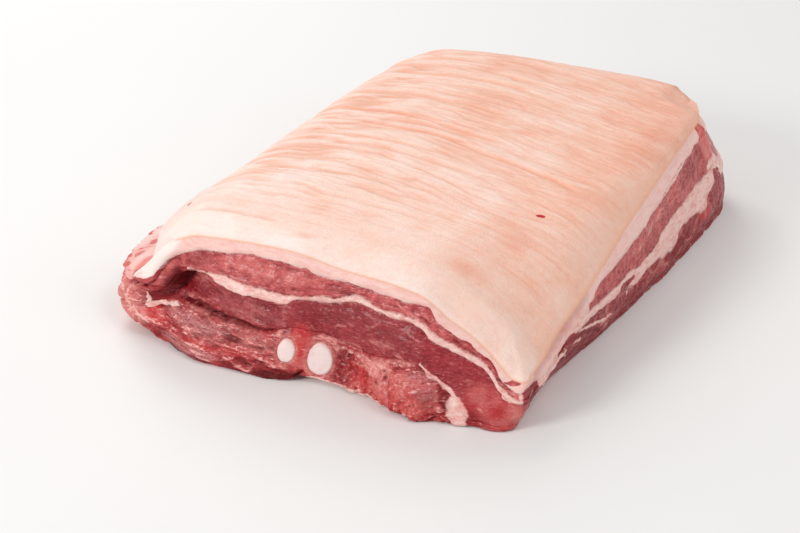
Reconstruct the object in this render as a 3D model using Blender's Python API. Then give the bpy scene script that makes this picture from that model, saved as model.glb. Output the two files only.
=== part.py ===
"""A raw slab of pork belly, lying skin side up on its meat side.

Every boundary between two layers of the slab is one smooth surface.  A place
on it is given by a walk number round the slab (0 front left, 1 front right,
2 back right, 3 back left, 4 front left again) and by a reach from the middle
(0) out to the cut side (1).  Each layer is the closed solid between two such
surfaces, so the layers fit one on another with a small gap all over.
"""
import bpy
import numpy as np

# Overall size of the slab (metres).
WIDTH = 0.187
LENGTH = 0.2515
HEIGHT = 0.0475

MM = 0.001
GAP = 0.3            # clear space between two neighbouring layers (mm)
FAT_CAP = 7.0        # rind and fat together in the middle of the slab (mm)

# Where the three lower boundaries lie in the middle of the slab, as shares of
# the height under the fat cap.
INNER_SHARES = (0.26, 0.46, 0.62)

# Corners of the outline: x, y, length of the rounding before and after (mm).
BASE_CORNERS = ((-84.0, -118.5, 24, 30), (83.0, -117.4, 12, 16),
                (92.4, 110.7, 24, 24), (-82.4, 113.5, 24, 24))
SKIN_CORNERS = ((-79.5, -107.5, 12, 8), (81.5, -109.0, 4, 4),
                (77.2, 120.2, 34, 18), (-78.6, 122.0, 22, 22))

# (place round the slab, outward shift in mm) of the two outlines.
BASE_BOW = ((0.05, 0), (0.13, 1.4), (0.18, 4.7), (0.25, 7), (0.4, 6.6), (0.47, 4), (0.53, 0),
            (0.6, -0.3), (0.66, 1), (0.72, 4.3), (0.79, 6.3), (0.84, 3), (0.88, 2.4), (0.92, 0),
            (1, 0), (1.04, -4), (1.1, -8), (1.18, -7), (1.26, -5.2), (1.36, -2.8), (1.72, 0.9),
            (2, 0), (2.3, 1.5), (3, 0), (3.3, 2), (3.7, 2.5))
SKIN_BOW = ((0, 0), (0.9, -1), (0.97, 1), (1, 3), (1.03, 1.5), (1.1, 1.4), (1.25, 2.9), (1.87, 0),
            (2, -9), (2.06, -4), (2.12, 0), (2.25, 3.4), (2.7, 3.2), (3, 0), (3.16, 5.5),
            (3.35, 6.5), (3.6, 5.5), (3.75, 4.5), (3.88, 2.5), (3.97, 0))
SIDE_BELLY = ((0.0, 7.0), (0.06, 4.0), (0.13, 1.0), (0.9, 0.5), (1.02, 2.0), (1.1, 4.5),
              (1.25, 3.5), (1.6, 2.0), (1.9, 3.0), (2.0, 7.0), (2.1, 4.0), (2.8, 4.0), (3.3, 3.0),
              (3.75, 5.0), (3.9, 11.0), (3.96, 11.0))

# Height of the skin's edge round the slab (mm).
SKIN_EDGE = ((0, 23.5), (0.02, 26), (0.085, 36.5), (0.125, 39.8), (0.17, 42.5), (0.42, 45.7),
             (0.56, 43.2), (0.67, 42.4), (0.74, 41), (0.776, 38.8), (0.815, 34.5), (0.874, 29.8),
             (0.948, 21.3), (0.975, 18.2), (1.065, 18.5), (1.114, 22), (1.36, 32.3), (1.44, 35.6),
             (1.87, 41.3), (2.5, 41), (2.9, 38), (3, 32), (3.08, 27), (3.2, 24), (3.72, 22),
             (3.84, 26.5), (3.94, 26), (3.98, 24))

# Heights of the four boundaries where they meet the sides, bottom one first (mm).
UNDER_TOP = ((0, 9), (0.04, 12), (0.08, 14.5), (0.18, 17), (0.32, 15.2), (0.37, 15.4), (0.43, 18),
             (0.47, 19.8), (0.52, 19.6), (0.6, 17.4), (0.657, 16.4), (0.733, 18), (0.77, 17.8),
             (0.81, 14.6), (0.84, 11), (0.87, 7.5), (0.9, 2.2), (1.9, 1.9), (2.1, 4.5), (2.5, 6),
             (3.3, 4.5), (3.8, 5))
INNER_TOP = ((0, 13.6), (0.04, 17.6), (0.08, 18.6), (0.1, 20.4), (0.127, 26.4), (0.17, 29.4),
             (0.22, 30.6), (0.262, 28.3), (0.292, 27.5), (0.42, 27.2), (0.437, 27.8), (0.456, 30),
             (0.53, 30.6), (0.606, 33.3), (0.672, 31.7), (0.726, 31.6), (0.766, 30), (0.787, 27.4),
             (0.908, 20.2), (0.932, 17.2), (0.953, 13.6), (1, 10.8), (1.065, 10.9), (1.114, 13.8),
             (1.24, 17.3), (1.32, 15.2), (1.43, 12.2), (1.463, 10.3), (1.526, 11.3), (1.565, 11),
             (1.591, 8.4), (1.606, 9.4), (1.636, 7), (1.66, 12), (1.685, 13.6), (1.747, 13),
             (1.805, 10.4), (1.82, 12.8), (1.87, 16), (1.92, 15), (2.1, 14), (2.5, 15),
             (2.9, 13.5), (3.2, 9.5), (3.8, 9))
SEAM_TOP = ((0, 15.6), (0.04, 19.2), (0.08, 20.2), (0.1, 22), (0.127, 28), (0.17, 31), (0.25, 32),
            (0.34, 31.1), (0.43, 31.2), (0.52, 32.7), (0.555, 33.4), (0.6, 36), (0.672, 33.4),
            (0.738, 33.3), (0.768, 31.8), (0.81, 28), (0.867, 25.1), (0.92, 20.8), (0.956, 15.4),
            (1, 12.3), (1.065, 12.4), (1.114, 15.5), (1.24, 20.4), (1.32, 18.8), (1.424, 18),
            (1.48, 16.4), (1.55, 17.2), (1.6, 20.4), (1.66, 21.8), (1.776, 22.7), (1.87, 23),
            (2.1, 21), (2.5, 22), (2.9, 20), (3.08, 14.5), (3.2, 13), (3.8, 12.5))
LEAN_TOP = ((0, 16.4), (0.03, 20.6), (0.07, 22), (0.083, 26.5), (0.101, 31.4), (0.136, 34.6),
            (0.183, 37.9), (0.26, 39.6), (0.33, 41.3), (0.47, 41), (0.495, 39.6), (0.672, 38.5),
            (0.738, 37.3), (0.77, 37.6), (0.795, 33.2), (0.847, 28.6), (0.92, 22.8), (0.956, 16.6),
            (1, 14), (1.065, 14), (1.114, 17.5), (1.24, 22.4), (1.29, 25.6), (1.46, 27.6),
            (1.58, 30.6), (1.66, 32.2), (1.83, 36), (2.5, 35.5), (2.9, 32), (3.08, 21),
            (3.2, 18.5), (3.8, 16))

# Outward shift of each boundary's edge, and swell of each layer's cut side (mm).
EDGE_SHIFTS = (((0.0, 0), (0.03, 0), (0.08, -3.5), (0.14, -4.5), (0.3, -4.0), (0.4, -2.0),
                (0.46, -0.5), (0.6, 0), (2.0, 0), (3.9, 0)),
               ((0.0, 0), (0.06, 0), (0.12, -2.0), (0.16, -2.0), (0.22, -1.0), (0.3, 0), (2.0, 0),
                (3.9, 0)),
               ((0.0, 0), (0.06, 0), (0.12, -1.2), (0.2, 0), (2.0, 0), (3.9, 0)),
               ((0.0, 0), (1.85, 0), (2.0, 1.5), (2.12, 0), (3.9, 0)))
SWELLS = (((0.0, 2.0), (0.08, 3.5), (0.3, 3.0), (0.42, 1.0), (0.6, 0.6), (0.7, 3.0), (0.78, 3.0),
           (0.88, 0.5), (1.9, 0.3), (2.5, 1.0), (3.8, 3.0)),
          ((0.0, 0), (0.12, -2.0), (0.25, -0.5), (0.5, 1.0), (1.0, 1.0), (1.6, 1.2), (2.5, 1.0),
           (3.8, 2.0)),
          ((0.0, 0.2), (2.0, 0.3)),
          ((0.0, 0.3), (0.3, 0.4), (1.0, 0.2), (1.6, 0.4), (3.0, 0.6)),
          ((0.0, 1.6), (0.05, 1.2), (0.2, 0.8), (1.0, 0.5), (1.9, 0.8), (2.1, 1.2), (3.0, 1.5),
           (3.8, 2.0), (3.86, 6.5), (3.93, 6.5), (3.98, 2.5)))

# How far in from the edge the skin rounds over, and how far it comes down (mm).
ROLL = ((0.0, 9.0), (0.7, 9.0), (0.99, 10.0), (1.01, 20.0), (1.15, 22.0), (1.4, 22.0),
        (1.7, 16.0), (1.99, 13.0), (2.01, 13.0), (2.5, 14.0), (2.99, 16.0), (3.01, 27.0),
        (3.99, 27.0))
DROP = ((0.0, 2.5), (0.4, 1.6), (0.7, 2.5), (0.99, 3.0), (1.01, 6.0), (1.1, 8.0), (1.18, 10.0),
        (1.26, 12.0), (1.36, 11.5), (1.44, 9.5), (1.56, 7.5), (1.73, 5.5), (1.99, 4.5),
        (2.01, 5.5), (2.99, 6.0), (3.01, 16.0), (3.2, 22.0), (3.5, 24.0), (3.99, 25.0))

# The trimmed edge of the skin strays from its rounded form over this reach (mm).
TRIM_REACH = 12.0

# The skin sinks towards its front right corner.
DROOP = 25.0
DROOP_CENTRE = (81.0, -112.0)
DROOP_REACH = (52.0, 112.0)

# Number of upright columns on each side, and the rings of each kind of surface.
COLUMNS = (27, 22, 14, 16)
SKIN_RINGS = (0.99, 0.97, 0.94, 0.9, 0.84, 0.74, 0.58, 0.4, 0.2)
HIDDEN_RINGS = (0.93, 0.76, 0.48)

# The two cut rib cartilages: centre x, centre height, width, height (mm).
CARTILAGES = {"cartilage_small": (-7.9, 11.2, 7.1, 8.9),
              "cartilage_large": (4.7, 9.4, 10.1, 12.6)}
CARTILAGE_DEPTH = 26.0
CARTILAGE_PROUD = 0.8

COLOURS = {"rind": (0.90, 0.66, 0.53), "fat": (0.86, 0.63, 0.56), "lean": (0.42, 0.09, 0.08),
           "dark_lean": (0.30, 0.05, 0.05), "cartilage": (0.92, 0.86, 0.82)}


def around(table, place):
    """Smooth value of a (place, value) table at places round the slab."""
    knots = np.array(sorted(table), float)
    x = np.concatenate([knots[:, 0] - 4, knots[:, 0], knots[:, 0] + 4])
    y = np.tile(knots[:, 1], 3)
    step = np.diff(x)
    slope = np.diff(y) / step
    rising = slope[1:] * slope[:-1] > 0
    total = np.where(rising, slope[1:] + slope[:-1], 1.0)
    lean = np.zeros(len(y))
    lean[1:-1] = np.where(rising, 2 * slope[1:] * slope[:-1] / total, 0.0)
    at = np.mod(place, 4)
    i = np.clip(np.searchsorted(x, at, side="right") - 1, 0, len(step) - 1)
    t = (at - x[i]) / step[i]
    return (y[i] * (1 + 2 * t) * (1 - t) ** 2 + y[i + 1] * t * t * (3 - 2 * t)
            + step[i] * (lean[i] * t * (1 - t) ** 2 - lean[i + 1] * t * t * (1 - t)))


def outline(corners, place):
    """Four straight sides joined by rounded corners, walked anticlockwise."""
    spec = np.array(corners, float)
    points = spec[:, :2]
    side = np.floor(np.mod(place, 4)).astype(int)
    share = np.mod(place, 1)[:, None]
    line = points[side] * (1 - share) + points[(side + 1) % 4] * share
    for k in range(4):
        corner, before, after = points[k], points[k - 1], points[(k + 1) % 4]
        size_in, size_out = np.linalg.norm(corner - before), np.linalg.norm(after - corner)
        start = corner + (before - corner) * spec[k, 2] / size_in
        end = corner + (after - corner) * spec[k, 3] / size_out
        away = np.mod(place - k + 2, 4) - 2
        turn = 0.5 + 0.5 * np.where(away < 0, away * size_in / spec[k, 2],
                                    away * size_out / spec[k, 3])
        q = np.clip(turn, 0, 1)[:, None]
        curve = (1 - q) ** 2 * start + 2 * q * (1 - q) * corner + q * q * end
        line = np.where((q > 0) & (q < 1), curve, line)
    return line


def outward(corners, place):
    """Unit vectors square to an outline and pointing away from the slab."""
    run = outline(corners, place + 0.01) - outline(corners, place - 0.01)
    square = np.stack([run[:, 1], -run[:, 0]], axis=1)
    return square / np.linalg.norm(square, axis=1)[:, None]


def edge_heights(place):
    """Heights of the base, the four boundaries and the skin's edge."""
    tables = (UNDER_TOP, INNER_TOP, SEAM_TOP, LEAN_TOP, SKIN_EDGE)
    return [np.zeros(len(place))] + [around(table, place) for table in tables]


def edge_line(level, place):
    """Where boundary `level` (0 base to 5 skin) meets the cut side."""
    heights = edge_heights(place)
    share = (heights[level] / heights[5])[:, None]
    out = outward(BASE_CORNERS, place)
    base = outline(BASE_CORNERS, place) + out * around(BASE_BOW, place)[:, None]
    skin = outline(SKIN_CORNERS, place) + out * around(SKIN_BOW, place)[:, None]
    shift = around(SIDE_BELLY, place) * 4 * share[:, 0] * (1 - share[:, 0])
    if 0 < level < 5:
        shift = shift + around(EDGE_SHIFTS[level - 1], place)
    flat = base * (1 - share) + skin * share + out * shift[:, None]
    return np.column_stack([flat, heights[level]])


def side_line(layer, place, up):
    """A line round the cut side of one layer, `up` of the way to its top."""
    low, high = edge_line(layer, place), edge_line(layer + 1, place)
    line = low * (1 - up) + high * up
    swell = around(SWELLS[layer], place) * np.sin(np.pi * up)
    line[:, :2] += outward(BASE_CORNERS, place) * swell[:, None]
    return line


def crown(x, y):
    """Height of the slab away from its edges: a low dome with one low corner."""
    dome = 47.5 - 1.2 * (x / 85.0) ** 2 - 0.8 * (y / 120.0) ** 2
    away = np.hypot((x - DROOP_CENTRE[0]) / DROOP_REACH[0],
                    (y - DROOP_CENTRE[1]) / DROOP_REACH[1])
    return dome - DROOP * np.clip(1 - away, 0, 1) ** 2


def skin_height(x, y):
    """Height of the skin: the dome, rounded over along each of its four sides."""
    height = crown(x, y)
    for side in range(4):
        start = np.array(SKIN_CORNERS[side][:2])
        run = np.array(SKIN_CORNERS[(side + 1) % 4][:2]) - start
        size = np.linalg.norm(run)
        run = run / size
        share = np.clip(((x - start[0]) * run[0] + (y - start[1]) * run[1]) / size, 0.01, 0.99)
        inset = (y - start[1]) * run[0] - (x - start[0]) * run[1]
        inset = inset + np.maximum(around(SKIN_BOW, side + share), 0)
        turn = np.clip(inset / around(ROLL, side + share), 0, 1)
        height = height - around(DROP, side + share) * (1 - np.sqrt(1 - (1 - turn) ** 2))
    return height


def ease(value):
    """Smooth step from 0 to 1."""
    value = np.clip(value, 0, 1)
    return value * value * (3 - 2 * value)


def inside_ring(level, place, reach):
    """A ring of boundary `level` at a share `reach` of the way out."""
    edge = edge_line(level, place)
    ring = edge[:, :2] * reach
    inset = (1 - reach) * np.sum(edge[:, :2] * outward(BASE_CORNERS, place), axis=1)
    heights = edge_heights(place)
    if level == 5:
        trim = heights[5] - skin_height(edge[:, 0], edge[:, 1])
        height = skin_height(ring[:, 0], ring[:, 1]) + trim * (1 - ease(inset / TRIM_REACH))
        return np.column_stack([ring, height])
    under_cap = crown(ring[:, 0], ring[:, 1]) - FAT_CAP
    reach_in = 1.5 * around(ROLL, place) + 10
    cap = heights[4] + (under_cap - heights[4]) * ease(inset / reach_in)
    if level == 4:
        return np.column_stack([ring, cap])
    side = ease((reach - 0.4) / 0.35)
    share = heights[level] / heights[4] * side + INNER_SHARES[level - 1] * (1 - side)
    return np.column_stack([ring, cap * share])


def columns():
    """Places of the upright columns round the slab."""
    return np.concatenate([side + np.arange(count) / count for side, count in enumerate(COLUMNS)])


def to_size(points):
    """Bring points in shape millimetres to metres at the slab's overall size."""
    place = np.arange(0, 4, 0.005)
    lines = [side_line(layer, place, up) for layer in range(5) for up in (0, 0.25, 0.5, 0.75, 1)]
    cloud = np.concatenate(lines + [inside_ring(5, place, r) for r in SKIN_RINGS])
    low, high = cloud.min(axis=0), cloud.max(axis=0)
    size = np.array([WIDTH, LENGTH, HEIGHT])
    middle = np.array([(low[0] + high[0]) / 2, (low[1] + high[1]) / 2, low[2]])
    return (points - middle) * size / (high - low)


def add_object(name, verts, faces, colour):
    """One named object with its own plain material."""
    mesh = bpy.data.meshes.new(name)
    mesh.from_pydata([tuple(v) for v in verts], [], faces)
    mesh.validate()
    mesh.update()
    material = bpy.data.materials.new(name + "_finish")
    material.use_nodes = True
    shader = material.node_tree.nodes["Principled BSDF"]
    shader.inputs["Base Color"].default_value = (*COLOURS[colour], 1.0)
    shader.inputs["Roughness"].default_value = 0.45
    mesh.materials.append(material)
    mesh.polygons.foreach_set("use_smooth", [True] * len(mesh.polygons))
    piece = bpy.data.objects.new(name, mesh)
    bpy.context.scene.collection.objects.link(piece)
    return piece


def closed_skin(loops, first_pole, last_pole, turned=0):
    """Verts and faces of a closed shape over stacked loops of equal count.

    The first `turned` rows of faces are split along their other diagonal, so
    that the underside of one layer is cut up just like the top of the next.
    """
    count = len(loops[0])
    verts = np.concatenate(loops + [first_pole[None], last_pole[None]])
    faces = []
    for row in range(len(loops) - 1):
        low, high = row * count, (row + 1) * count
        for j in range(count):
            k = (j + 1) % count
            if row < turned:
                faces += [(low + j, low + k, high + j), (low + k, high + k, high + j)]
            else:
                faces += [(low + j, low + k, high + k), (low + j, high + k, high + j)]
    bottom, top = len(loops) * count, len(loops) * count + 1
    last = (len(loops) - 1) * count
    for j in range(count):
        k = (j + 1) % count
        faces.append((bottom, k, j))
        faces.append((top, last + j, last + k))
    return verts, faces


def add_layer(name, layer, side_rows, top_rings, colour):
    """One layer of the slab: lower boundary, cut side and upper boundary."""
    place = columns()
    half_gap = np.array([0, 0, GAP / 2])
    lower = [inside_ring(layer, place, r) for r in reversed(HIDDEN_RINGS)] if layer else []
    for ring in lower:
        ring += half_gap
    sides = [side_line(layer, place, up) for up in side_rows]
    upper = [inside_ring(layer + 1, place, r) for r in top_rings]
    if layer > 0:
        sides[0] = sides[0] + half_gap
    if layer < 4:
        sides[-1] = sides[-1] - half_gap
        upper = [ring - half_gap for ring in upper]
    loops = lower + sides + upper
    verts, faces = closed_skin(loops, loops[0].mean(axis=0), loops[-1].mean(axis=0),
                               turned=len(lower))
    return add_object(name, to_size(verts), faces, colour)


def oval_rod(name, centre, size, front, back, colour, sides=24):
    """An oval rod lying front to back, both of its ends rounded."""
    angle = np.arange(sides) * 2 * np.pi / sides
    steps = ((0, 0.35), (0.35, 0.68), (0.9, 0.9), (2.0, 1.0))
    rows = [(front + d, s) for d, s in steps] + [(back - d, s) for d, s in reversed(steps)]
    loops = [np.column_stack([centre[0] + size[0] / 2 * s * np.cos(angle),
                              np.full(sides, y),
                              centre[1] - size[1] / 2 * s * np.sin(angle)]) for y, s in rows]
    poles = [np.array([centre[0], y, centre[1]]) for y in (front - 0.15, back + 0.15)]
    verts, faces = closed_skin(loops, poles[0], poles[1])
    return add_object(name, to_size(verts), faces, colour)


def front_at(x, height):
    """How far forward the lowest layer's cut side stands at x."""
    place = np.arange(0.3, 0.7, 0.002)
    rows = [side_line(0, place, up) for up in np.linspace(0.1, 0.9, 9)]
    points = np.concatenate(rows)
    near = np.argmin(np.abs(points[:, 0] - x) + np.abs(points[:, 2] - height))
    return points[near, 1]


def seat_cartilage(name, lean, spec):
    """Put one cartilage into a pocket cut in the lowest lean layer."""
    x, height, wide, tall = spec
    front = front_at(x, height) - CARTILAGE_PROUD
    back = front + CARTILAGE_DEPTH
    cutter = oval_rod(name + "_pocket", (x, height), (wide + 2 * GAP, tall + 2 * GAP),
                      front - 6, back + GAP, "lean")
    cutter.hide_render = True
    cutter.display_type = 'WIRE'
    cut = lean.modifiers.new(name + "_pocket", 'BOOLEAN')
    cut.operation = 'DIFFERENCE'
    cut.solver = 'EXACT'
    cut.object = cutter
    return oval_rod(name, (x, height), (wide, tall), front, back, "cartilage")


def main():
    """Clear the scene and build the slab's layers and cartilages."""
    for old in list(bpy.data.objects):
        bpy.data.objects.remove(old, do_unlink=True)
    under = add_layer("under_lean", 0, (0, 0.3, 0.65, 1), HIDDEN_RINGS, "lean")
    add_layer("inner_lean", 1, (0, 0.5, 1), HIDDEN_RINGS, "dark_lean")
    add_layer("seam_fat", 2, (0, 1), HIDDEN_RINGS, "fat")
    add_layer("outer_lean", 3, (0, 0.5, 1), HIDDEN_RINGS, "lean")
    add_layer("rind_fat", 4, (0, 0.35, 0.7, 1), SKIN_RINGS, "rind")
    for name, spec in CARTILAGES.items():
        seat_cartilage(name, under, spec)


main()
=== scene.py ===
"""A raw slab of pork belly, lying skin side up.

The slab is built as it grew: five layers lie one on another, and each is one
closed surface whose visible part is the wall cut by the knife.  A point of a
wall is given by its place round the slab (0 front left, 1 front right, 2 back
right, 3 back left) and its height.  Lengths are in millimetres until a mesh is
made, when they become metres in the frame.
"""
import logging
import math
from dataclasses import dataclass, field
from enum import Enum
from typing import Any, Sequence

import bpy
import numpy as np
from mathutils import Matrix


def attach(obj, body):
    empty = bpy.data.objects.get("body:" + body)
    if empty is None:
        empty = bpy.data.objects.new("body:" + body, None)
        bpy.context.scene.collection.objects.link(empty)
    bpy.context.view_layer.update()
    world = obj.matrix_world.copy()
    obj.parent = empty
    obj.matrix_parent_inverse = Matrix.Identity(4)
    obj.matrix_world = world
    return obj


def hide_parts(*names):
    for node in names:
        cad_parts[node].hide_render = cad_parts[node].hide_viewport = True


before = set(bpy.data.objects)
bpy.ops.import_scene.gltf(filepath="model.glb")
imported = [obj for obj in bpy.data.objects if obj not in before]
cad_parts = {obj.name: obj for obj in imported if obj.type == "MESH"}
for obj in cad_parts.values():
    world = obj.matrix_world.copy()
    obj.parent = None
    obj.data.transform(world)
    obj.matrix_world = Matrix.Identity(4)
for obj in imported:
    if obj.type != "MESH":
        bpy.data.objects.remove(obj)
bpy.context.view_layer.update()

LOG = logging.getLogger("pork_belly")
Table = tuple[tuple[float, float], ...]
Array = np.ndarray

MIDDLE = np.array([-1.583, 0.502, 0.0])  # middle of the slab's box in its own millimetres
WALK_START = 2.5                         # place where the walk round the slab begins


def ease(value: Array) -> Array:
    """Smooth step: 3t^2 - 2t^3 of the value held between 0 and 1."""
    held = np.clip(value, 0.0, 1.0)
    return held * held * (3.0 - 2.0 * held)


def between(value: Array, low: float, high: float, soft: float) -> Array:
    """1 between low and high, easing to 0 over `soft` on both sides."""
    return ease((value - low) / soft + 0.5) * ease((high - value) / soft + 0.5)


def near(value: Array, centre: float, reach: float) -> Array:
    """A rounded hill, 1 at the centre and 0 from `reach` away on."""
    return ease(1.0 - np.abs(value - centre) / reach)


def spot(x: Array, y: Array, centre: tuple[float, float], size: tuple[float, float]) -> Array:
    """An oval rounded hill, 1 at its centre and 0 from its half sizes on."""
    return near(np.hypot((x - centre[0]) / size[0], (y - centre[1]) / size[1]), 0.0, 1.0)


def walk_gap(place: Array, mark: float) -> Array:
    """Signed distance round the slab from a mark, in places, within -2 and 2."""
    return np.mod(place - mark + 2.0, 4.0) - 2.0


def pair(a: Array, b: Array) -> Array:
    """Two coordinate arrays as one array of points."""
    return np.stack(np.broadcast_arrays(a, b), axis=-1)


def around(table: Table, place: Array) -> Array:
    """Smooth value of a (place, value) table round the slab.

    Between knots the value is a cubic whose slopes are the harmonic mean of
    the steps beside each knot, or zero where they turn, so it never overshoots.

    Args:
        table: knots as (place, value), the value returning to the first at 4.
        place: places to evaluate, any shape.

    Returns:
        The values, in the shape of `place`.
    """
    knots = np.array(sorted(table), float)
    x = np.concatenate([knots[:, 0] - 4, knots[:, 0], knots[:, 0] + 4])
    y = np.tile(knots[:, 1], 3)
    step = np.diff(x)
    slope = np.diff(y) / step
    rising = slope[1:] * slope[:-1] > 0
    total = np.where(rising, slope[1:] + slope[:-1], 1.0)
    lean = np.zeros(len(y))
    lean[1:-1] = np.where(rising, 2 * slope[1:] * slope[:-1] / total, 0.0)
    at = np.mod(place, 4)
    i = np.clip(np.searchsorted(x, at, side="right") - 1, 0, len(step) - 1)
    t = (at - x[i]) / step[i]
    return (y[i] * (1 + 2 * t) * (1 - t) ** 2 + y[i + 1] * t * t * (3 - 2 * t)
            + step[i] * (lean[i] * t * (1 - t) ** 2 - lean[i + 1] * t * t * (1 - t)))


class Grain:
    """Smooth random fields, the same on every run for one seed."""

    def __init__(self, seed: int) -> None:
        """Keeps the seed."""
        self.seed = seed

    def chance(self, corner: Array, salt: int) -> Array:
        """A number from 0 to 1 for each whole-number corner.

        The axes are multiplied by large odd numbers and mixed by shifts.

        Args:
            corner: whole numbers, the axes last.
            salt: which of several independent numbers is wanted.

        Returns:
            An array one axis shorter than `corner`.
        """
        start = (self.seed * 7919 + salt * 104729 + 12345) & 0xFFFFFFFF
        mixed = np.full(corner.shape[:-1], start, np.uint64)
        for axis in range(corner.shape[-1]):
            mixed ^= corner[..., axis].astype(np.int64).view(np.uint64)
            mixed *= np.uint64(0xBF58476D1CE4E5B9)
            mixed ^= mixed >> np.uint64(31)
            mixed *= np.uint64(0x94D049BB133111EB)
            mixed ^= mixed >> np.uint64(29)
        return (mixed >> np.uint64(11)).astype(float) / 2.0 ** 53

    def wave(self, points: Array, salt: int = 0) -> Array:
        """Gradient noise: at each lattice corner a random slope, blended smoothly.

        Args:
            points: positions in lattice units, the axes last.
            salt: picks an independent field.

        Returns:
            Values from about -1 to 1.
        """
        axes = points.shape[-1]
        cell = np.floor(points)
        inside = points - cell
        fade = inside ** 3 * (inside * (inside * 6 - 15) + 10)
        total = np.zeros(points.shape[:-1])
        for number in range(2 ** axes):
            corner = np.array([(number >> axis) & 1 for axis in range(axes)], float)
            weight = np.prod(np.where(corner > 0, fade, 1 - fade), axis=-1)
            slope = sum((2 * self.chance(cell + corner, salt * 8 + axis) - 1)
                        * (inside[..., axis] - corner[axis]) for axis in range(axes))
            total = total + weight * slope
        return total * (1.7 if axes == 2 else 1.9)

    def layers(self, points: Array, octaves: int = 3, fall: float = 0.5, salt: int = 0) -> Array:
        """Sum of noise fields, each twice as fine and `fall` times as strong as the last."""
        total, strength = np.zeros(points.shape[:-1]), 1.0
        for octave in range(octaves):
            total = total + strength * self.wave(points * 2.0 ** octave + 17.3 * octave, salt + octave)
            strength *= fall
        return total

    def cells(self, points: Array, salt: int = 0) -> tuple[Array, Array, Array]:
        """Distances to the nearest and second nearest of scattered seeds.

        Each lattice square holds one seed at a random spot.

        Args:
            points: positions in lattice units, two axes, the axes last.
            salt: picks an independent scatter.

        Returns:
            Nearest distance, second distance, and a random number of the nearest seed.
        """
        square = np.floor(points)
        first = np.full(points.shape[:-1], 9.0)
        second, mark = first.copy(), np.zeros(points.shape[:-1])
        for dx in (-1, 0, 1):
            for dy in (-1, 0, 1):
                corner = square + np.array([dx, dy])
                seed = corner + np.stack([self.chance(corner, salt * 4 + 90),
                                          self.chance(corner, salt * 4 + 91)], axis=-1)
                far = np.hypot(seed[..., 0] - points[..., 0], seed[..., 1] - points[..., 1])
                closer = far < first
                second = np.where(closer, first, np.minimum(second, far))
                mark = np.where(closer, self.chance(corner, salt * 4 + 92), mark)
                first = np.where(closer, far, first)
        return first, second, mark


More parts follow.
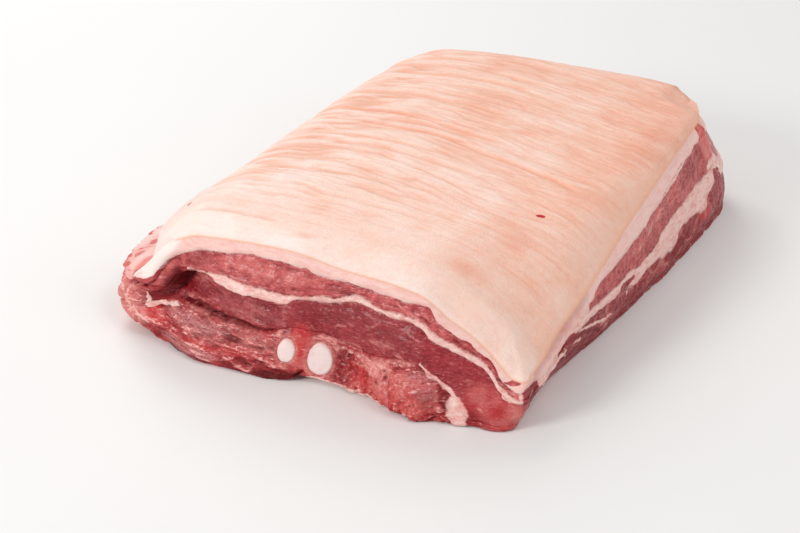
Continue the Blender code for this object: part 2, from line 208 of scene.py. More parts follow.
@dataclass(frozen=True)
class SlabForm:
    """The smooth form of the slab and of the boundaries between its layers."""

    base_corners: tuple = ((-84.0, -118.5, 24, 30), (83.0, -117.4, 12, 16), (92.4, 110.7, 24, 24),
        (-82.4, 113.5, 24, 24))
    skin_corners: tuple = ((-79.5, -107.5, 12, 8), (81.5, -109.0, 4, 4), (77.2, 120.2, 34, 18),
        (-78.6, 122.0, 22, 22))
    base_bow: Table = ((0.05, 0), (0.13, 1.4), (0.18, 4.7), (0.25, 7), (0.4, 6.6), (0.47, 4),
        (0.53, 0), (0.6, -0.3), (0.66, 1), (0.72, 4.3), (0.79, 6.3), (0.84, 3), (0.88, 2.4),
        (0.92, 0), (1, 0), (1.04, -4), (1.1, -8), (1.18, -7), (1.26, -5.2), (1.36, -2.8),
        (1.72, 0.9), (2, 0), (2.3, 1.5), (3, 0), (3.3, 2), (3.7, 2.5))
    skin_bow: Table = ((0, 0), (0.9, -1), (0.97, 1), (1, 3), (1.03, 1.5), (1.1, 1.4), (1.25, 2.9),
        (1.87, 0), (2, -9), (2.06, -4), (2.12, 0), (2.25, 3.4), (2.7, 3.2), (3, 0), (3.16, 5.5),
        (3.35, 6.5), (3.6, 5.5), (3.75, 4.5), (3.88, 2.5), (3.97, 0))
    side_belly: Table = ((0.0, 7.0), (0.06, 4.0), (0.13, 1.0), (0.9, 0.5), (1.02, 2.0), (1.1, 4.5),
        (1.25, 3.5), (1.6, 2.0), (1.9, 3.0), (2.0, 7.0), (2.1, 4.0), (2.8, 4.0), (3.3, 3.0),
        (3.75, 5.0), (3.9, 11.0), (3.96, 11.0))
    skin_edge: Table = ((0, 23.5), (0.02, 26), (0.085, 36.5), (0.125, 39.8), (0.17, 42.5),
        (0.42, 45.7), (0.56, 43.2), (0.67, 42.4), (0.74, 41), (0.776, 38.8), (0.815, 34.5),
        (0.874, 29.8), (0.948, 21.3), (0.975, 18.2), (1.065, 18.5), (1.114, 22), (1.36, 32.3),
        (1.44, 35.6), (1.87, 41.3), (2.5, 41), (2.9, 38), (3, 32), (3.08, 27), (3.2, 24),
        (3.72, 22), (3.84, 26.5), (3.94, 26), (3.98, 24))
    under_top: Table = ((0, 9), (0.04, 12), (0.08, 14.5), (0.18, 17), (0.32, 15.2), (0.37, 15.4),
        (0.43, 18), (0.47, 19.8), (0.52, 19.6), (0.6, 17.4), (0.657, 16.4), (0.733, 18),
        (0.77, 17.8), (0.81, 14.6), (0.84, 11), (0.87, 7.5), (0.9, 2.2), (1.9, 1.9), (2.1, 4.5),
        (2.5, 6), (3.3, 4.5), (3.8, 5))
    inner_top: Table = ((0, 13.6), (0.04, 17.6), (0.08, 18.6), (0.1, 20.4), (0.127, 26.4),
        (0.17, 29.4), (0.22, 30.6), (0.262, 28.3), (0.292, 27.5), (0.42, 27.2), (0.437, 27.8),
        (0.456, 30), (0.53, 30.6), (0.606, 33.3), (0.672, 31.7), (0.726, 31.6), (0.766, 30),
        (0.787, 27.4), (0.908, 20.2), (0.932, 17.2), (0.953, 13.6), (1, 10.8), (1.065, 10.9),
        (1.114, 13.8), (1.24, 17.3), (1.32, 15.2), (1.43, 12.2), (1.463, 10.3), (1.526, 11.3),
        (1.565, 11), (1.591, 8.4), (1.606, 9.4), (1.636, 7), (1.66, 12), (1.685, 13.6),
        (1.747, 13), (1.805, 10.4), (1.82, 12.8), (1.87, 16), (1.92, 15), (2.1, 14), (2.5, 15),
        (2.9, 13.5), (3.2, 9.5), (3.8, 9))
    seam_top: Table = ((0, 15.6), (0.04, 19.2), (0.08, 20.2), (0.1, 22), (0.127, 28), (0.17, 31),
        (0.25, 32), (0.34, 31.1), (0.43, 31.2), (0.52, 32.7), (0.555, 33.4), (0.6, 36),
        (0.672, 33.4), (0.738, 33.3), (0.768, 31.8), (0.81, 28), (0.867, 25.1), (0.92, 20.8),
        (0.956, 15.4), (1, 12.3), (1.065, 12.4), (1.114, 15.5), (1.24, 20.4), (1.32, 18.8),
        (1.424, 18), (1.48, 16.4), (1.55, 17.2), (1.6, 20.4), (1.66, 21.8), (1.776, 22.7),
        (1.87, 23), (2.1, 21), (2.5, 22), (2.9, 20), (3.08, 14.5), (3.2, 13), (3.8, 12.5))
    lean_top: Table = ((0, 16.4), (0.03, 20.6), (0.07, 22), (0.083, 26.5), (0.101, 31.4),
        (0.136, 34.6), (0.183, 37.9), (0.26, 39.6), (0.33, 41.3), (0.47, 41), (0.495, 39.6),
        (0.672, 38.5), (0.738, 37.3), (0.77, 37.6), (0.795, 33.2), (0.847, 28.6), (0.92, 22.8),
        (0.956, 16.6), (1, 14), (1.065, 14), (1.114, 17.5), (1.24, 22.4), (1.29, 25.6),
        (1.46, 27.6), (1.58, 30.6), (1.66, 32.2), (1.83, 36), (2.5, 35.5), (2.9, 32), (3.08, 21),
        (3.2, 18.5), (3.8, 16))
    edge_shifts: tuple = (((0.0, 0), (0.03, 0), (0.08, -3.5), (0.14, -4.5), (0.3, -4.0),
        (0.4, -2.0), (0.46, -0.5), (0.6, 0), (2.0, 0), (3.9, 0)), ((0.0, 0), (0.06, 0),
        (0.12, -2.0), (0.16, -2.0), (0.22, -1.0), (0.3, 0), (2.0, 0), (3.9, 0)), ((0.0, 0),
        (0.06, 0), (0.12, -1.2), (0.2, 0), (2.0, 0), (3.9, 0)), ((0.0, 0), (1.85, 0), (2.0, 1.5),
        (2.12, 0), (3.9, 0)))
    swells: tuple = (((0.0, 2.0), (0.08, 3.5), (0.3, 3.0), (0.42, 1.0), (0.6, 0.6), (0.7, 3.0),
        (0.78, 3.0), (0.88, 0.5), (1.9, 0.3), (2.5, 1.0), (3.8, 3.0)), ((0.0, 0), (0.12, -2.0),
        (0.25, -0.5), (0.5, 1.0), (1.0, 1.0), (1.6, 1.2), (2.5, 1.0), (3.8, 2.0)), ((0.0, 0.2),
        (2.0, 0.3)), ((0.0, 0.3), (0.3, 0.4), (1.0, 0.2), (1.6, 0.4), (3.0, 0.6)), ((0.0, 1.6),
        (0.05, 1.2), (0.2, 0.8), (1.0, 0.5), (1.9, 0.8), (2.1, 1.2), (3.0, 1.5), (3.8, 2.0),
        (3.86, 6.5), (3.93, 6.5), (3.98, 2.5)))
    roll: Table = ((0.0, 9.0), (0.7, 9.0), (0.99, 10.0), (1.01, 20.0), (1.15, 22.0), (1.4, 22.0),
        (1.7, 16.0), (1.99, 13.0), (2.01, 13.0), (2.5, 14.0), (2.99, 16.0), (3.01, 27.0),
        (3.99, 27.0))
    drop: Table = ((0.0, 2.5), (0.4, 1.6), (0.7, 2.5), (0.99, 3.0), (1.01, 6.0), (1.1, 8.0),
        (1.18, 10.0), (1.26, 12.0), (1.36, 11.5), (1.44, 9.5), (1.56, 7.5), (1.73, 5.5),
        (1.99, 4.5), (2.01, 5.5), (2.99, 6.0), (3.01, 16.0), (3.2, 22.0), (3.5, 24.0),
        (3.99, 25.0))
    inner_shares: tuple[float, ...] = (0.26, 0.46, 0.62)
    fat_cap: float = 7.0
    trim_reach: float = 12.0
    ragged: float = 0.5

    def outline(self, corners: tuple, place: Array) -> Array:
        """Four straight sides joined by quadratic curves at the corners."""
        spec = np.array(corners, float)
        points = spec[:, :2]
        side = np.floor(np.mod(place, 4)).astype(int)
        share = np.mod(place, 1)[:, None]
        line = points[side] * (1 - share) + points[(side + 1) % 4] * share
        for k in range(4):
            corner, before, after = points[k], points[k - 1], points[(k + 1) % 4]
            size_in, size_out = np.linalg.norm(corner - before), np.linalg.norm(after - corner)
            start = corner + (before - corner) * spec[k, 2] / size_in
            end = corner + (after - corner) * spec[k, 3] / size_out
            away = walk_gap(place, k)
            turn = 0.5 + 0.5 * np.where(away < 0, away * size_in / spec[k, 2],
                                        away * size_out / spec[k, 3])
            q = np.clip(turn, 0, 1)[:, None]
            curve = (1 - q) ** 2 * start + 2 * q * (1 - q) * corner + q * q * end
            line = np.where((q > 0) & (q < 1), curve, line)
        return line

    def outward(self, place: Array) -> Array:
        """Level unit vectors square to the foot of the slab, pointing away from it."""
        run = (self.outline(self.base_corners, place + 0.01)
               - self.outline(self.base_corners, place - 0.01))
        square = np.stack([run[:, 1], -run[:, 0]], axis=1)
        return square / np.linalg.norm(square, axis=1)[:, None]

    def walked(self, place: Array) -> Array:
        """Millimetres walked along the foot from `WALK_START` to each place."""
        fine = np.linspace(WALK_START, WALK_START + 4, 4001)
        step = np.diff(self.outline(self.base_corners, fine), axis=0)
        far = np.concatenate([[0], np.cumsum(np.hypot(step[:, 0], step[:, 1]))])
        return np.interp(WALK_START + np.mod(place - WALK_START, 4), fine, far)

    def heights(self, place: Array) -> list[Array]:
        """Heights where the six levels meet the cut walls, lowest first.

        The tables give smooth heights, and a fine ragged wave is added to the
        four inner levels, weaker where the layers beside it are thin.
        """
        tables = (self.under_top, self.inner_top, self.seam_top, self.lean_top, self.skin_edge)
        smooth = [np.zeros(place.shape)] + [around(table, place) for table in tables]
        far = self.walked(place)
        ragged = [smooth[0]]
        for level in range(1, 5):
            wave = (Grain(31).wave(pair(far / 7.0, far * 0 + level * 5.5))
                    + 0.6 * Grain(32).wave(pair(far / 2.6, far * 0 + level * 3.5)))
            room = np.minimum(smooth[level] - smooth[level - 1], smooth[level + 1] - smooth[level])
            fade = ease((np.mod(WALK_START + 4 - 1e-9 - place, 4)) / 0.02)
            ragged.append(smooth[level] + wave * np.minimum(self.ragged, 0.25 * room) * fade)
        return ragged + [smooth[5]]

    def edge_line(self, level: int, place: Array) -> Array:
        """Where a level meets the wall: between foot and skin outlines by height share."""
        heights = self.heights(place)
        share = heights[level] / heights[5]
        out = self.outward(place)
        base = self.outline(self.base_corners, place) + out * around(self.base_bow, place)[:, None]
        skin = self.outline(self.skin_corners, place) + out * around(self.skin_bow, place)[:, None]
        shift = around(self.side_belly, place) * 4 * share * (1 - share)
        if 0 < level < 5:
            shift = shift + around(self.edge_shifts[level - 1], place)
        flat = base * (1 - share[:, None]) + skin * share[:, None] + out * shift[:, None]
        return np.column_stack([flat, heights[level]])

    def crown(self, x: Array, y: Array) -> Array:
        """Height of the slab away from its edges: a low dome with one low corner."""
        dome = 47.5 - 1.2 * (x / 85.0) ** 2 - 0.8 * (y / 120.0) ** 2
        away = np.hypot((x - 81.0) / 52.0, (y + 112.0) / 112.0)
        return dome - 25.0 * np.clip(1 - away, 0, 1) ** 2

    def skin_height(self, x: Array, y: Array) -> Array:
        """Height of the skin: the dome less a quarter-round along each side.

        The quarter-round falls by drop * (1 - sqrt(1 - (1 - inset/roll)^2)).
        """
        height = self.crown(x, y)
        for side in range(4):
            start = np.array(self.skin_corners[side][:2])
            run = np.array(self.skin_corners[(side + 1) % 4][:2]) - start
            size = np.linalg.norm(run)
            run = run / size
            share = np.clip(((x - start[0]) * run[0] + (y - start[1]) * run[1]) / size, 0.01, 0.99)
            inset = (y - start[1]) * run[0] - (x - start[0]) * run[1]
            inset = inset + np.maximum(around(self.skin_bow, side + share), 0)
            turn = np.clip(inset / around(self.roll, side + share), 0, 1)
            height = height - around(self.drop, side + share) * (1 - np.sqrt(1 - (1 - turn) ** 2))
        return height

    def ring(self, level: int, place: Array, reach: Array) -> Array:
        """A ring of an inner level at a share `reach` of the way out from the middle."""
        edge = self.edge_line(level, place)
        ring = edge[:, :2] * reach[:, None]
        inset = (1 - reach) * np.sum(edge[:, :2] * self.outward(place), axis=1)
        heights = self.heights(place)
        under_cap = self.crown(ring[:, 0], ring[:, 1]) - self.fat_cap
        reach_in = 1.5 * around(self.roll, place) + 10
        cap = heights[4] + (under_cap - heights[4]) * ease(inset / reach_in)
        if level == 4:
            return np.column_stack([ring, cap])
        side = ease((reach - 0.4) / 0.35)
        share = heights[level] / heights[4] * side + self.inner_shares[level - 1] * (1 - side)
        return np.column_stack([ring, cap * share])


FORM = SlabForm()


class Streak(Enum):
    """The kinds of tissue and shade drawn on the cut walls."""

    FAT = "fat"
    LEAN = "lean"
    BRIGHT = "bright"
    PALE = "pale"
    # dark: painted shade in hollows, creases and at the foot, and dark red tissue elsewhere
    DARK = "dark"
    MAUVE = "mauve"
    COMB = "comb"
    LACE = "lace"
    CREAM = "cream"
    ROSY = "rosy"


FAT, LEAN, BRIGHT, PALE = Streak.FAT, Streak.LEAN, Streak.BRIGHT, Streak.PALE
DARK, MAUVE, COMB, LACE = Streak.DARK, Streak.MAUVE, Streak.COMB, Streak.LACE
CREAM, ROSY = Streak.CREAM, Streak.ROSY


@dataclass
class Wall:
    """A cut wall sampled on a grid: rows up the layer, columns round the slab."""

    place: Array
    up: Array
    points: Array
    walked: Array
    scale: Array = field(init=False)
    detail: Array = field(init=False)
    marks: dict[str, Array] = field(default_factory=dict)

    def __post_init__(self) -> None:
        """Finds how many millimetres one place is worth at each column."""
        self.detail = np.zeros(self.points.shape[:2])
        step = self.place * 0 + 0.002
        run = (FORM.outline(FORM.base_corners, self.place + step)
               - FORM.outline(FORM.base_corners, self.place - step))
        self.scale = np.hypot(run[:, 0], run[:, 1]) / 0.004

    @property
    def height(self) -> Array:
        """Height of every wall point."""
        return self.points[..., 2]

    @property
    def flat(self) -> Array:
        """Wall points as (millimetres walked, height)."""
        return pair(self.walked[None, :], self.height)

    def gap(self, mark: float) -> Array:
        """Signed distance of every wall point from a place, in places."""
        return np.broadcast_to(walk_gap(self.place, mark)[None, :], self.height.shape)

    def push(self, out: Array) -> None:
        """Moves every wall point outwards by its own number of millimetres."""
        level = FORM.outward(self.place)[None] * out[..., None]
        self.points = self.points + np.concatenate([level, level[..., :1] * 0], axis=-1)


@dataclass(frozen=True)
class Stroke:
    """One streak drawn on the walls through (place, height) points."""

    kind: Streak
    width: float
    points: tuple[tuple[float, float], ...]
    strength: float = 1.0
    soft: float = 1.1
    taper: float = 0.4

    def cover(self, wall: Wall, wander: Array) -> Array:
        """How much of the streak covers each wall point.

        The distance to the bent line is measured in millimetres, and the cover
        falls from 1 to 0 across `soft` at half the streak's width, which
        narrows to `taper` of itself at both ends.

        Args:
            wall: the wall painted on.
            wander: small shifts along and up the wall that make the line unsteady.

        Returns:
            Cover from 0 to `strength`.
        """
        cover = np.zeros(wall.height.shape)
        ends = [place for place, _ in self.points]
        reach = 0.5 * (max(ends) - min(ends))
        away = np.abs(walk_gap(wall.place, 0.5 * (max(ends) + min(ends))))
        here = away < reach + (self.width / 2 + self.soft + 1.5) / wall.scale
        if not here.any():
            return cover
        place, scale = wall.place[here], wall.scale[here]
        height = wall.height[:, here] + wander[1][:, here]
        best = np.full(height.shape, -9.0)
        count = len(self.points) - 1
        for k, ((p0, h0), (p1, h1)) in enumerate(zip(self.points, self.points[1:])):
            run, rise = (p1 - p0) * scale, h1 - h0
            x, y = walk_gap(place, p0) * scale + wander[0][:, here], height - h0
            t = np.clip((x * run + y * rise) / (run * run + rise * rise + 1e-9), 0, 1)
            slim = np.sin(np.pi * np.clip((k + t) / count, 0.02, 0.98)) ** 0.6
            half = self.width / 2 * (self.taper + (1 - self.taper) * slim)
            best = np.maximum(best, half - np.hypot(x - t * run, y - t * rise))
        cover[:, here] = ease(best / self.soft + 0.5) * self.strength
        return cover


class Tissue:
    """Every streak that shows on the cut walls, by region, and the borders of the fat."""

    lobes = (
        Stroke(FAT, 1.6, ((0.043, 16.2), (0.052, 12.6), (0.09, 13.6), (0.125, 14.1), (0.148, 14.9)), 0.8),
        Stroke(FAT, 1.3, ((0.046, 15.3), (0.059, 12.1), (0.076, 12.6), (0.097, 14.2))),
        Stroke(FAT, 1.2, ((-0.004, 16.3), (0.023, 18.1), (0.044, 18.1))),
        Stroke(FAT, 1.4, ((0.022, 10.5), (0.03, 8.5), (0.05, 7.5), (0.07, 6))),
        Stroke(PALE, 9, ((-0.02, 14), (0, 10), (0.02, 8), (0.05, 7)), 0.8, 3.0),
        Stroke(BRIGHT, 3, ((-0.02, 12), (0, 11))),
        Stroke(BRIGHT, 2.5, ((0, 14), (0.02, 13.5))),
        Stroke(BRIGHT, 6, ((0.06, 9), (0.095, 9)), 1.0, 2.0, 0.9),
        Stroke(LEAN, 4.5, ((0.03, 18), (0.06, 18.6), (0.1, 20)), 1.0, 1.6),
        # Painted shade: the dark line under the tongue of fat, in the gap it overhangs.
        Stroke(DARK, 2, ((-0.01, 17.2), (0.01, 19.4), (0.025, 20.3), (0.055, 19.6)), 0.75),
        Stroke(BRIGHT, 10, ((-0.16, 20), (-0.1, 21), (-0.05, 20)), 0.8, 3.0),
        Stroke(FAT, 2.4, ((-0.17, 24), (-0.13, 23.4), (-0.1, 23.4), (-0.07, 23))),
        Stroke(FAT, 1.2, ((-0.03, 19.5), (-0.01, 17))),
        Stroke(CREAM, 9, ((0.057, 21.5), (0.062, 27), (0.073, 33), (0.095, 38)), 1.0, 2.5, 0.9),
        Stroke(CREAM, 5, ((0.028, 23.2), (0.036, 24.4)), 1.0, 1.5, 0.9),
        Stroke(CREAM, 2.4, ((-0.07, 22.6), (-0.085, 22.8), (-0.11, 23.6), (-0.14, 24.4)), 0.9),
        # Painted shade: the first rosy stroke paints pinkish shade in the valley between the ball and the
        # fold.
        Stroke(ROSY, 3.2, ((-0.03, 24), (-0.015, 21.5), (0.005, 21), (0.02, 21.6)), 0.9, 2.0),
        Stroke(ROSY, 2.0, ((0.044, 22), (0.047, 25)), 0.35, 1.6),
        Stroke(LEAN, 7, ((0.0, 19.6), (0.06, 20), (0.09, 21.5), (0.115, 25.5), (0.138, 29)), 1.0,
               1.6, 0.9),
        Stroke(FAT, 3, ((-0.2, 16), (-0.15, 15), (-0.1, 12.5))),
        Stroke(FAT, 2.4, ((-0.3, 12), (-0.24, 9), (-0.18, 7.5))),
        Stroke(PALE, 12, ((-0.28, 14), (-0.2, 11), (-0.1, 8), (-0.03, 6)), 0.7, 3.0),
    )
    # Painted shade: darkening in the hollow under the curled left end and along the lines of its
    # overhang.
    hollow = (
        Stroke(DARK, 5, ((0.08, 18), (0.095, 19), (0.11, 20)), 0.15, 3.0),
        Stroke(DARK, 4.5, ((0.106, 21.5), (0.117, 24.5), (0.128, 27.5)), 0.85, 3.0, 0.7),
        Stroke(DARK, 1.5, ((0.155, 28.6), (0.184, 30.5)), 0.7),
        Stroke(DARK, 0.7, ((0.147, 35.3), (0.159, 35.3)), 0.6),
    )
    # The dark strokes paint the shadow line in the crease between the flap and the recessed muscle above
    # it; the pale and fat strokes are the flap's own rim.
    crease = (
        Stroke(DARK, 1.1, ((0.12, 17.5), (0.2, 16.6), (0.24, 16), (0.295, 15.5), (0.363, 15.4),
                           (0.418, 16.8)), 0.75, 1.4),
        Stroke(DARK, 1.5, ((0.184, 17.2), (0.222, 17.2)), 0.8),
        Stroke(PALE, 0.8, ((0.142, 17.6), (0.167, 18.5))),
        Stroke(FAT, 0.9, ((0.117, 14.9), (0.145, 14.9)), 0.9),
        Stroke(PALE, 0.9, ((0.167, 16.2), (0.21, 15.6), (0.25, 15)), 0.8),
    )
    flap = (
        Stroke(MAUVE, 4.5, ((0.11, 13.5), (0.18, 12.5), (0.26, 11.5)), 0.65, 3.0),
        Stroke(PALE, 2.2, ((0.1, 13.4), (0.15, 12.8)), 0.5, 2.0),
        Stroke(BRIGHT, 2.6, ((0.18, 7), (0.305, 6.6), (0.38, 7.5)), 0.6, 2.0),
        Stroke(MAUVE, 5, ((0.12, 3.5), (0.2, 3), (0.28, 3)), 0.7, 2.0),
        Stroke(BRIGHT, 4, ((0.1, 3), (0.14, 1)), 0.6, 2.0),
        # Painted shade: darker along the flap's foot towards the notch, where it meets the floor.
        Stroke(DARK, 3.2, ((0.38, 0.8), (0.43, 1.2), (0.484, 2.4)), 0.9, 1.8),
        Stroke(PALE, 8, ((0.2, 11), (0.3, 12), (0.36, 12), (0.42, 11)), 0.35, 3.0),
    )
    ribs = (
        Stroke(BRIGHT, 8, ((0.48, 18.5), (0.49, 12), (0.495, 5)), 0.8, 3.5, 0.9),
        Stroke(PALE, 2.6, ((0.428, 17.2), (0.436, 16.2), (0.445, 15.6))),
        Stroke(PALE, 2.5, ((0.511, 17.2), (0.536, 17.6), (0.557, 17.2), (0.568, 14))),
        Stroke(PALE, 1.6, ((0.435, 13), (0.437, 9), (0.447, 5.8), (0.462, 5)), 0.7),
        Stroke(PALE, 1.6, ((0.498, 10), (0.502, 5.5), (0.515, 2.6), (0.54, 1.6), (0.565, 3)), 0.7),
        Stroke(PALE, 0.9, ((0.555, 16.9), (0.6095, 18.1), (0.624, 17)), 0.8),
        Stroke(PALE, 1.2, ((0.561, 15.3), (0.6095, 15.1), (0.632, 14.7), (0.672, 14.1),
                          (0.707, 17), (0.728, 17.6), (0.749, 17.3))),
        Stroke(PALE, 0.7, ((0.5555, 23.1), (0.572, 24), (0.583, 24.3)), 0.9),
        Stroke(PALE, 0.7, ((0.59, 25.5), (0.603, 25.5)), 0.8),
    )
    lump = (
        Stroke(BRIGHT, 14, ((0.63, 8), (0.68, 8), (0.75, 8), (0.79, 8)), 0.85, 3.0, 0.9),
        Stroke(PALE, 5.5, ((0.63, 12), (0.66, 12.6), (0.69, 13.4), (0.714, 13.6)), 1.0, 2.2),
        Stroke(PALE, 8, ((0.69, 9), (0.74, 11.5), (0.77, 12.5)), 0.4, 4.0),
        Stroke(PALE, 1.0, ((0.7067, 14.7), (0.709, 11.7), (0.696, 8.8), (0.677, 6.5)), 0.8),
        Stroke(DARK, 1.8, ((0.68, 8.8), (0.682, 9.2)), 0.8),
        Stroke(DARK, 1.6, ((0.701, 11.2), (0.703, 11.6)), 0.8),
        Stroke(DARK, 3, ((0.649, 8.8), (0.655, 9.5)), 0.5),
        Stroke(DARK, 7, ((0.585, 12.6), (0.597, 9.5), (0.6, 6)), 0.35, 6.0, 0.9),
        Stroke(DARK, 1.6, ((0.578, 12.5), (0.6, 13.2), (0.62, 12.4)), 0.6, 1.6),
        Stroke(DARK, 1.4, ((0.592, 8.2), (0.61, 9), (0.625, 8)), 0.6, 1.6),
        Stroke(CREAM, 2.4, ((0.64, 12), (0.662, 12.5)), 0.35, 2.0),
        Stroke(DARK, 5, ((0.79, 10), (0.81, 8), (0.815, 5)), 0.35, 4.0),
        Stroke(MAUVE, 6.5, ((0.765, 15), (0.79, 13), (0.818, 9)), 0.6, 2.0),
        Stroke(DARK, 3.5, ((0.826, 11.5), (0.84, 8), (0.845, 5.3)), 0.5, 2.0),
        Stroke(BRIGHT, 7, ((0.69, 5), (0.74, 5), (0.78, 5)), 0.9, 2.5),
        Stroke(FAT, 1.8, ((0.505, 2.4), (0.56, 1.6), (0.6, 1.2), (0.66, 0.8), (0.72, 0.4)), 0.75),
    )
    corner_fat = (
        Stroke(FAT, 2.2, ((0.775, 18.7), (0.805, 15.8), (0.832, 12.9), (0.853, 11.2),
                          (0.861, 8.8), (0.874, 6.5)), 0.75, 1.6),
        Stroke(FAT, 7.2, ((0.863, 7.5), (0.873, 4.5), (0.878, 1.5)), 0.9, 3.5, 0.75),
        Stroke(ROSY, 2.4, ((0.868, 9.6), (0.884, 7.6), (0.896, 5), (0.896, 2.5)), 0.6, 2.4),
        Stroke(ROSY, 1.6, ((0.79, 17.4), (0.815, 14.6), (0.84, 12)), 0.4, 1.6),
        Stroke(PALE, 1, ((0.717, 19.3), (0.744, 17.6), (0.766, 18.7))),
        Stroke(BRIGHT, 12, ((0.91, 10), (0.95, 8), (0.985, 6)), 0.8, 4.0, 0.8),
        Stroke(PALE, 1.2, ((0.912, 6.8), (0.922, 6.2))),
        Stroke(PALE, 2, ((0.883, 15.2), (0.891, 15.2)), 0.3),
    )
    inner_meat = (
        Stroke(PALE, 4, ((0.323, 24.5), (0.38, 22)), 0.2, 2.0),
        Stroke(DARK, 6, ((0.66, 25.5), (0.74, 24)), 0.22, 4.0),
        Stroke(PALE, 3, ((0.28, 19), (0.38, 19)), 0.25, 2.0),
        Stroke(DARK, 2.5, ((0.28, 25.8), (0.43, 25.6)), 0.25, 2.0),
        Stroke(PALE, 1.8, ((0.434, 27), (0.438, 19)), 0.25, 1.5),
        Stroke(PALE, 7, ((0.15, 25), (0.18, 27.5), (0.22, 29)), 0.3, 3.0),
        Stroke(PALE, 2.2, ((0.648, 21.5), (0.707, 21.8)), 0.5, 1.6),
        Stroke(PALE, 0.6, ((0.632, 26.3), (0.648, 26.3), (0.6615, 28)), 0.7),
        Stroke(COMB, 1.6, ((0.505, 30.4), (0.56, 31.4), (0.6, 32.6)), 1.0, 1.2, 0.8),
        Stroke(COMB, 1.4, ((0.629, 32.4), (0.665, 31.6), (0.699, 31.2)), 1.0, 1.2, 0.8),
        Stroke(MAUVE, 9, ((0.15, 23.5), (0.22, 25), (0.3, 22), (0.42, 20.5)), 0.14, 4.0),
        Stroke(DARK, 8, ((0.48, 28), (0.55, 28.5), (0.63, 28)), 0.22, 4.0),
        Stroke(BRIGHT, 1.6, ((0.648, 33), (0.6615, 33))),
    )
    outer_meat = (
        # Painted shade: the outer lean darker at the left, under the curled rind.
        Stroke(DARK, 6, ((0.16, 32.5), (0.19, 35.5), (0.22, 37)), 0.3, 3.0),
        Stroke(BRIGHT, 4, ((0.085, 23), (0.1, 27), (0.115, 30)), 0.3, 2.5),
        Stroke(PALE, 4, ((0.42, 36.6), (0.48, 37)), 0.3, 2.0),
        Stroke(BRIGHT, 5, ((0.25, 36.5), (0.35, 37.8), (0.42, 36.5), (0.5, 37)), 0.45, 3.0),
        Stroke(PALE, 3, ((0.375, 36), (0.39, 36)), 0.5, 2.0),
        Stroke(PALE, 2, ((0.434, 36.5), (0.455, 36.5)), 0.5, 2.0),
        Stroke(DARK, 1.6, ((0.5216, 35.5), (0.6, 35.6)), 0.4, 1.6),
        Stroke(DARK, 0.6, ((0.576, 36.4), (0.601, 36.2)), 0.6),
        Stroke(DARK, 0.8, ((0.693, 35.4), (0.704, 35.4)), 0.5),
        Stroke(PALE, 0.8, ((0.699, 36.8), (0.728, 34.5), (0.749, 33.3), (0.781, 29.8)), 0.8),
        Stroke(DARK, 0.6, ((0.76, 33.4), (0.784, 32.2)), 0.8),
        Stroke(PALE, 0.9, ((0.7865, 33.9), (0.802, 31.9), (0.813, 29.8)), 0.8),
        Stroke(LEAN, 2, ((0.808, 31), (0.861, 26.3))),
        Stroke(DARK, 0.7, ((0.837, 27.7), (0.856, 26.8)), 0.8),
        Stroke(DARK, 1.0, ((0.866, 26), (0.8955, 24.2)), 0.6),
        Stroke(LEAN, 1.5, ((0.861, 27.8), (0.8875, 25.5))),
        Stroke(LEAN, 2.2, ((0.914, 23.4), (0.941, 18.7))),
        Stroke(DARK, 1, ((0.946, 17.6), (0.957, 16.7)), 0.6),
        Stroke(FAT, 1.2, ((0.957, 19.3), (0.958, 19.5))),
        Stroke(LEAN, 1.6, ((0.965, 17), (0.989, 17.6))),
        Stroke(FAT, 2, ((0.959, 13.5), (0.975, 11.7))),
    )
    right_front = (
        # Painted shade: the fat below the rim darker along the right side, away from the light.
        Stroke(DARK, 5, ((1.04, 18), (1.09, 21), (1.15, 24.5), (1.23, 27.5)), 0.22, 3.0, 0.8),
        Stroke(ROSY, 4, ((1.04, 17), (1.09, 20), (1.15, 23), (1.2, 24)), 0.3, 3.0, 0.8),
        Stroke(PALE, 3, ((0.985, 14), (0.99, 10), (0.995, 6)), 0.5, 3.0, 0.8),
        # Painted shade: the right-facing side of the front right corner darker.
        Stroke(DARK, 6, ((1.02, 14.5), (1.035, 11), (1.05, 8)), 0.5, 3.0, 0.9),
        Stroke(FAT, 5, ((1.0, 13.2), (1.05, 13.8), (1.1, 15.5), (1.2, 20), (1.235, 22))),
        Stroke(LEAN, 8, ((1.012, 14.5), (1.03, 11), (1.045, 8)), 1.0, 1.4),
        Stroke(FAT, 1, ((1.022, 11), (1.034, 12.7))),
        Stroke(FAT, 3.4, ((1.052, 14), (1.08, 11), (1.109, 8), (1.118, 3)), 0.9),
        Stroke(FAT, 1.6, ((1.162, 13.3), (1.174, 10.4))),
        Stroke(FAT, 1.3, ((1.1975, 12.8), (1.223, 12.1))),
        Stroke(LEAN, 3, ((1.12, 16.5), (1.17, 17.5), (1.195, 16))),
        Stroke(FAT, 1.4, ((1.206, 16.2), (1.263, 13.5), (1.32, 10), (1.354, 8.7))),
        Stroke(FAT, 1.8, ((1.195, 20.4), (1.29, 18.6), (1.377, 16.9))),
        Stroke(PALE, 3, ((1.31, 9), (1.345, 8)), 0.9),
        Stroke(PALE, 2.6, ((1.335, 7), (1.352, 3)), 0.9),
        Stroke(DARK, 7, ((1.2, 8), (1.3, 4)), 0.4, 3.0),
        Stroke(DARK, 6, ((1.11, 11), (1.19, 9.5)), 0.35, 3.0),
        Stroke(DARK, 2, ((1.115, 16.2), (1.149, 16.9), (1.192, 14.9), (1.2345, 12.8),
                         (1.291, 8.7), (1.348, 2.5)), 0.45, 1.6),
    )
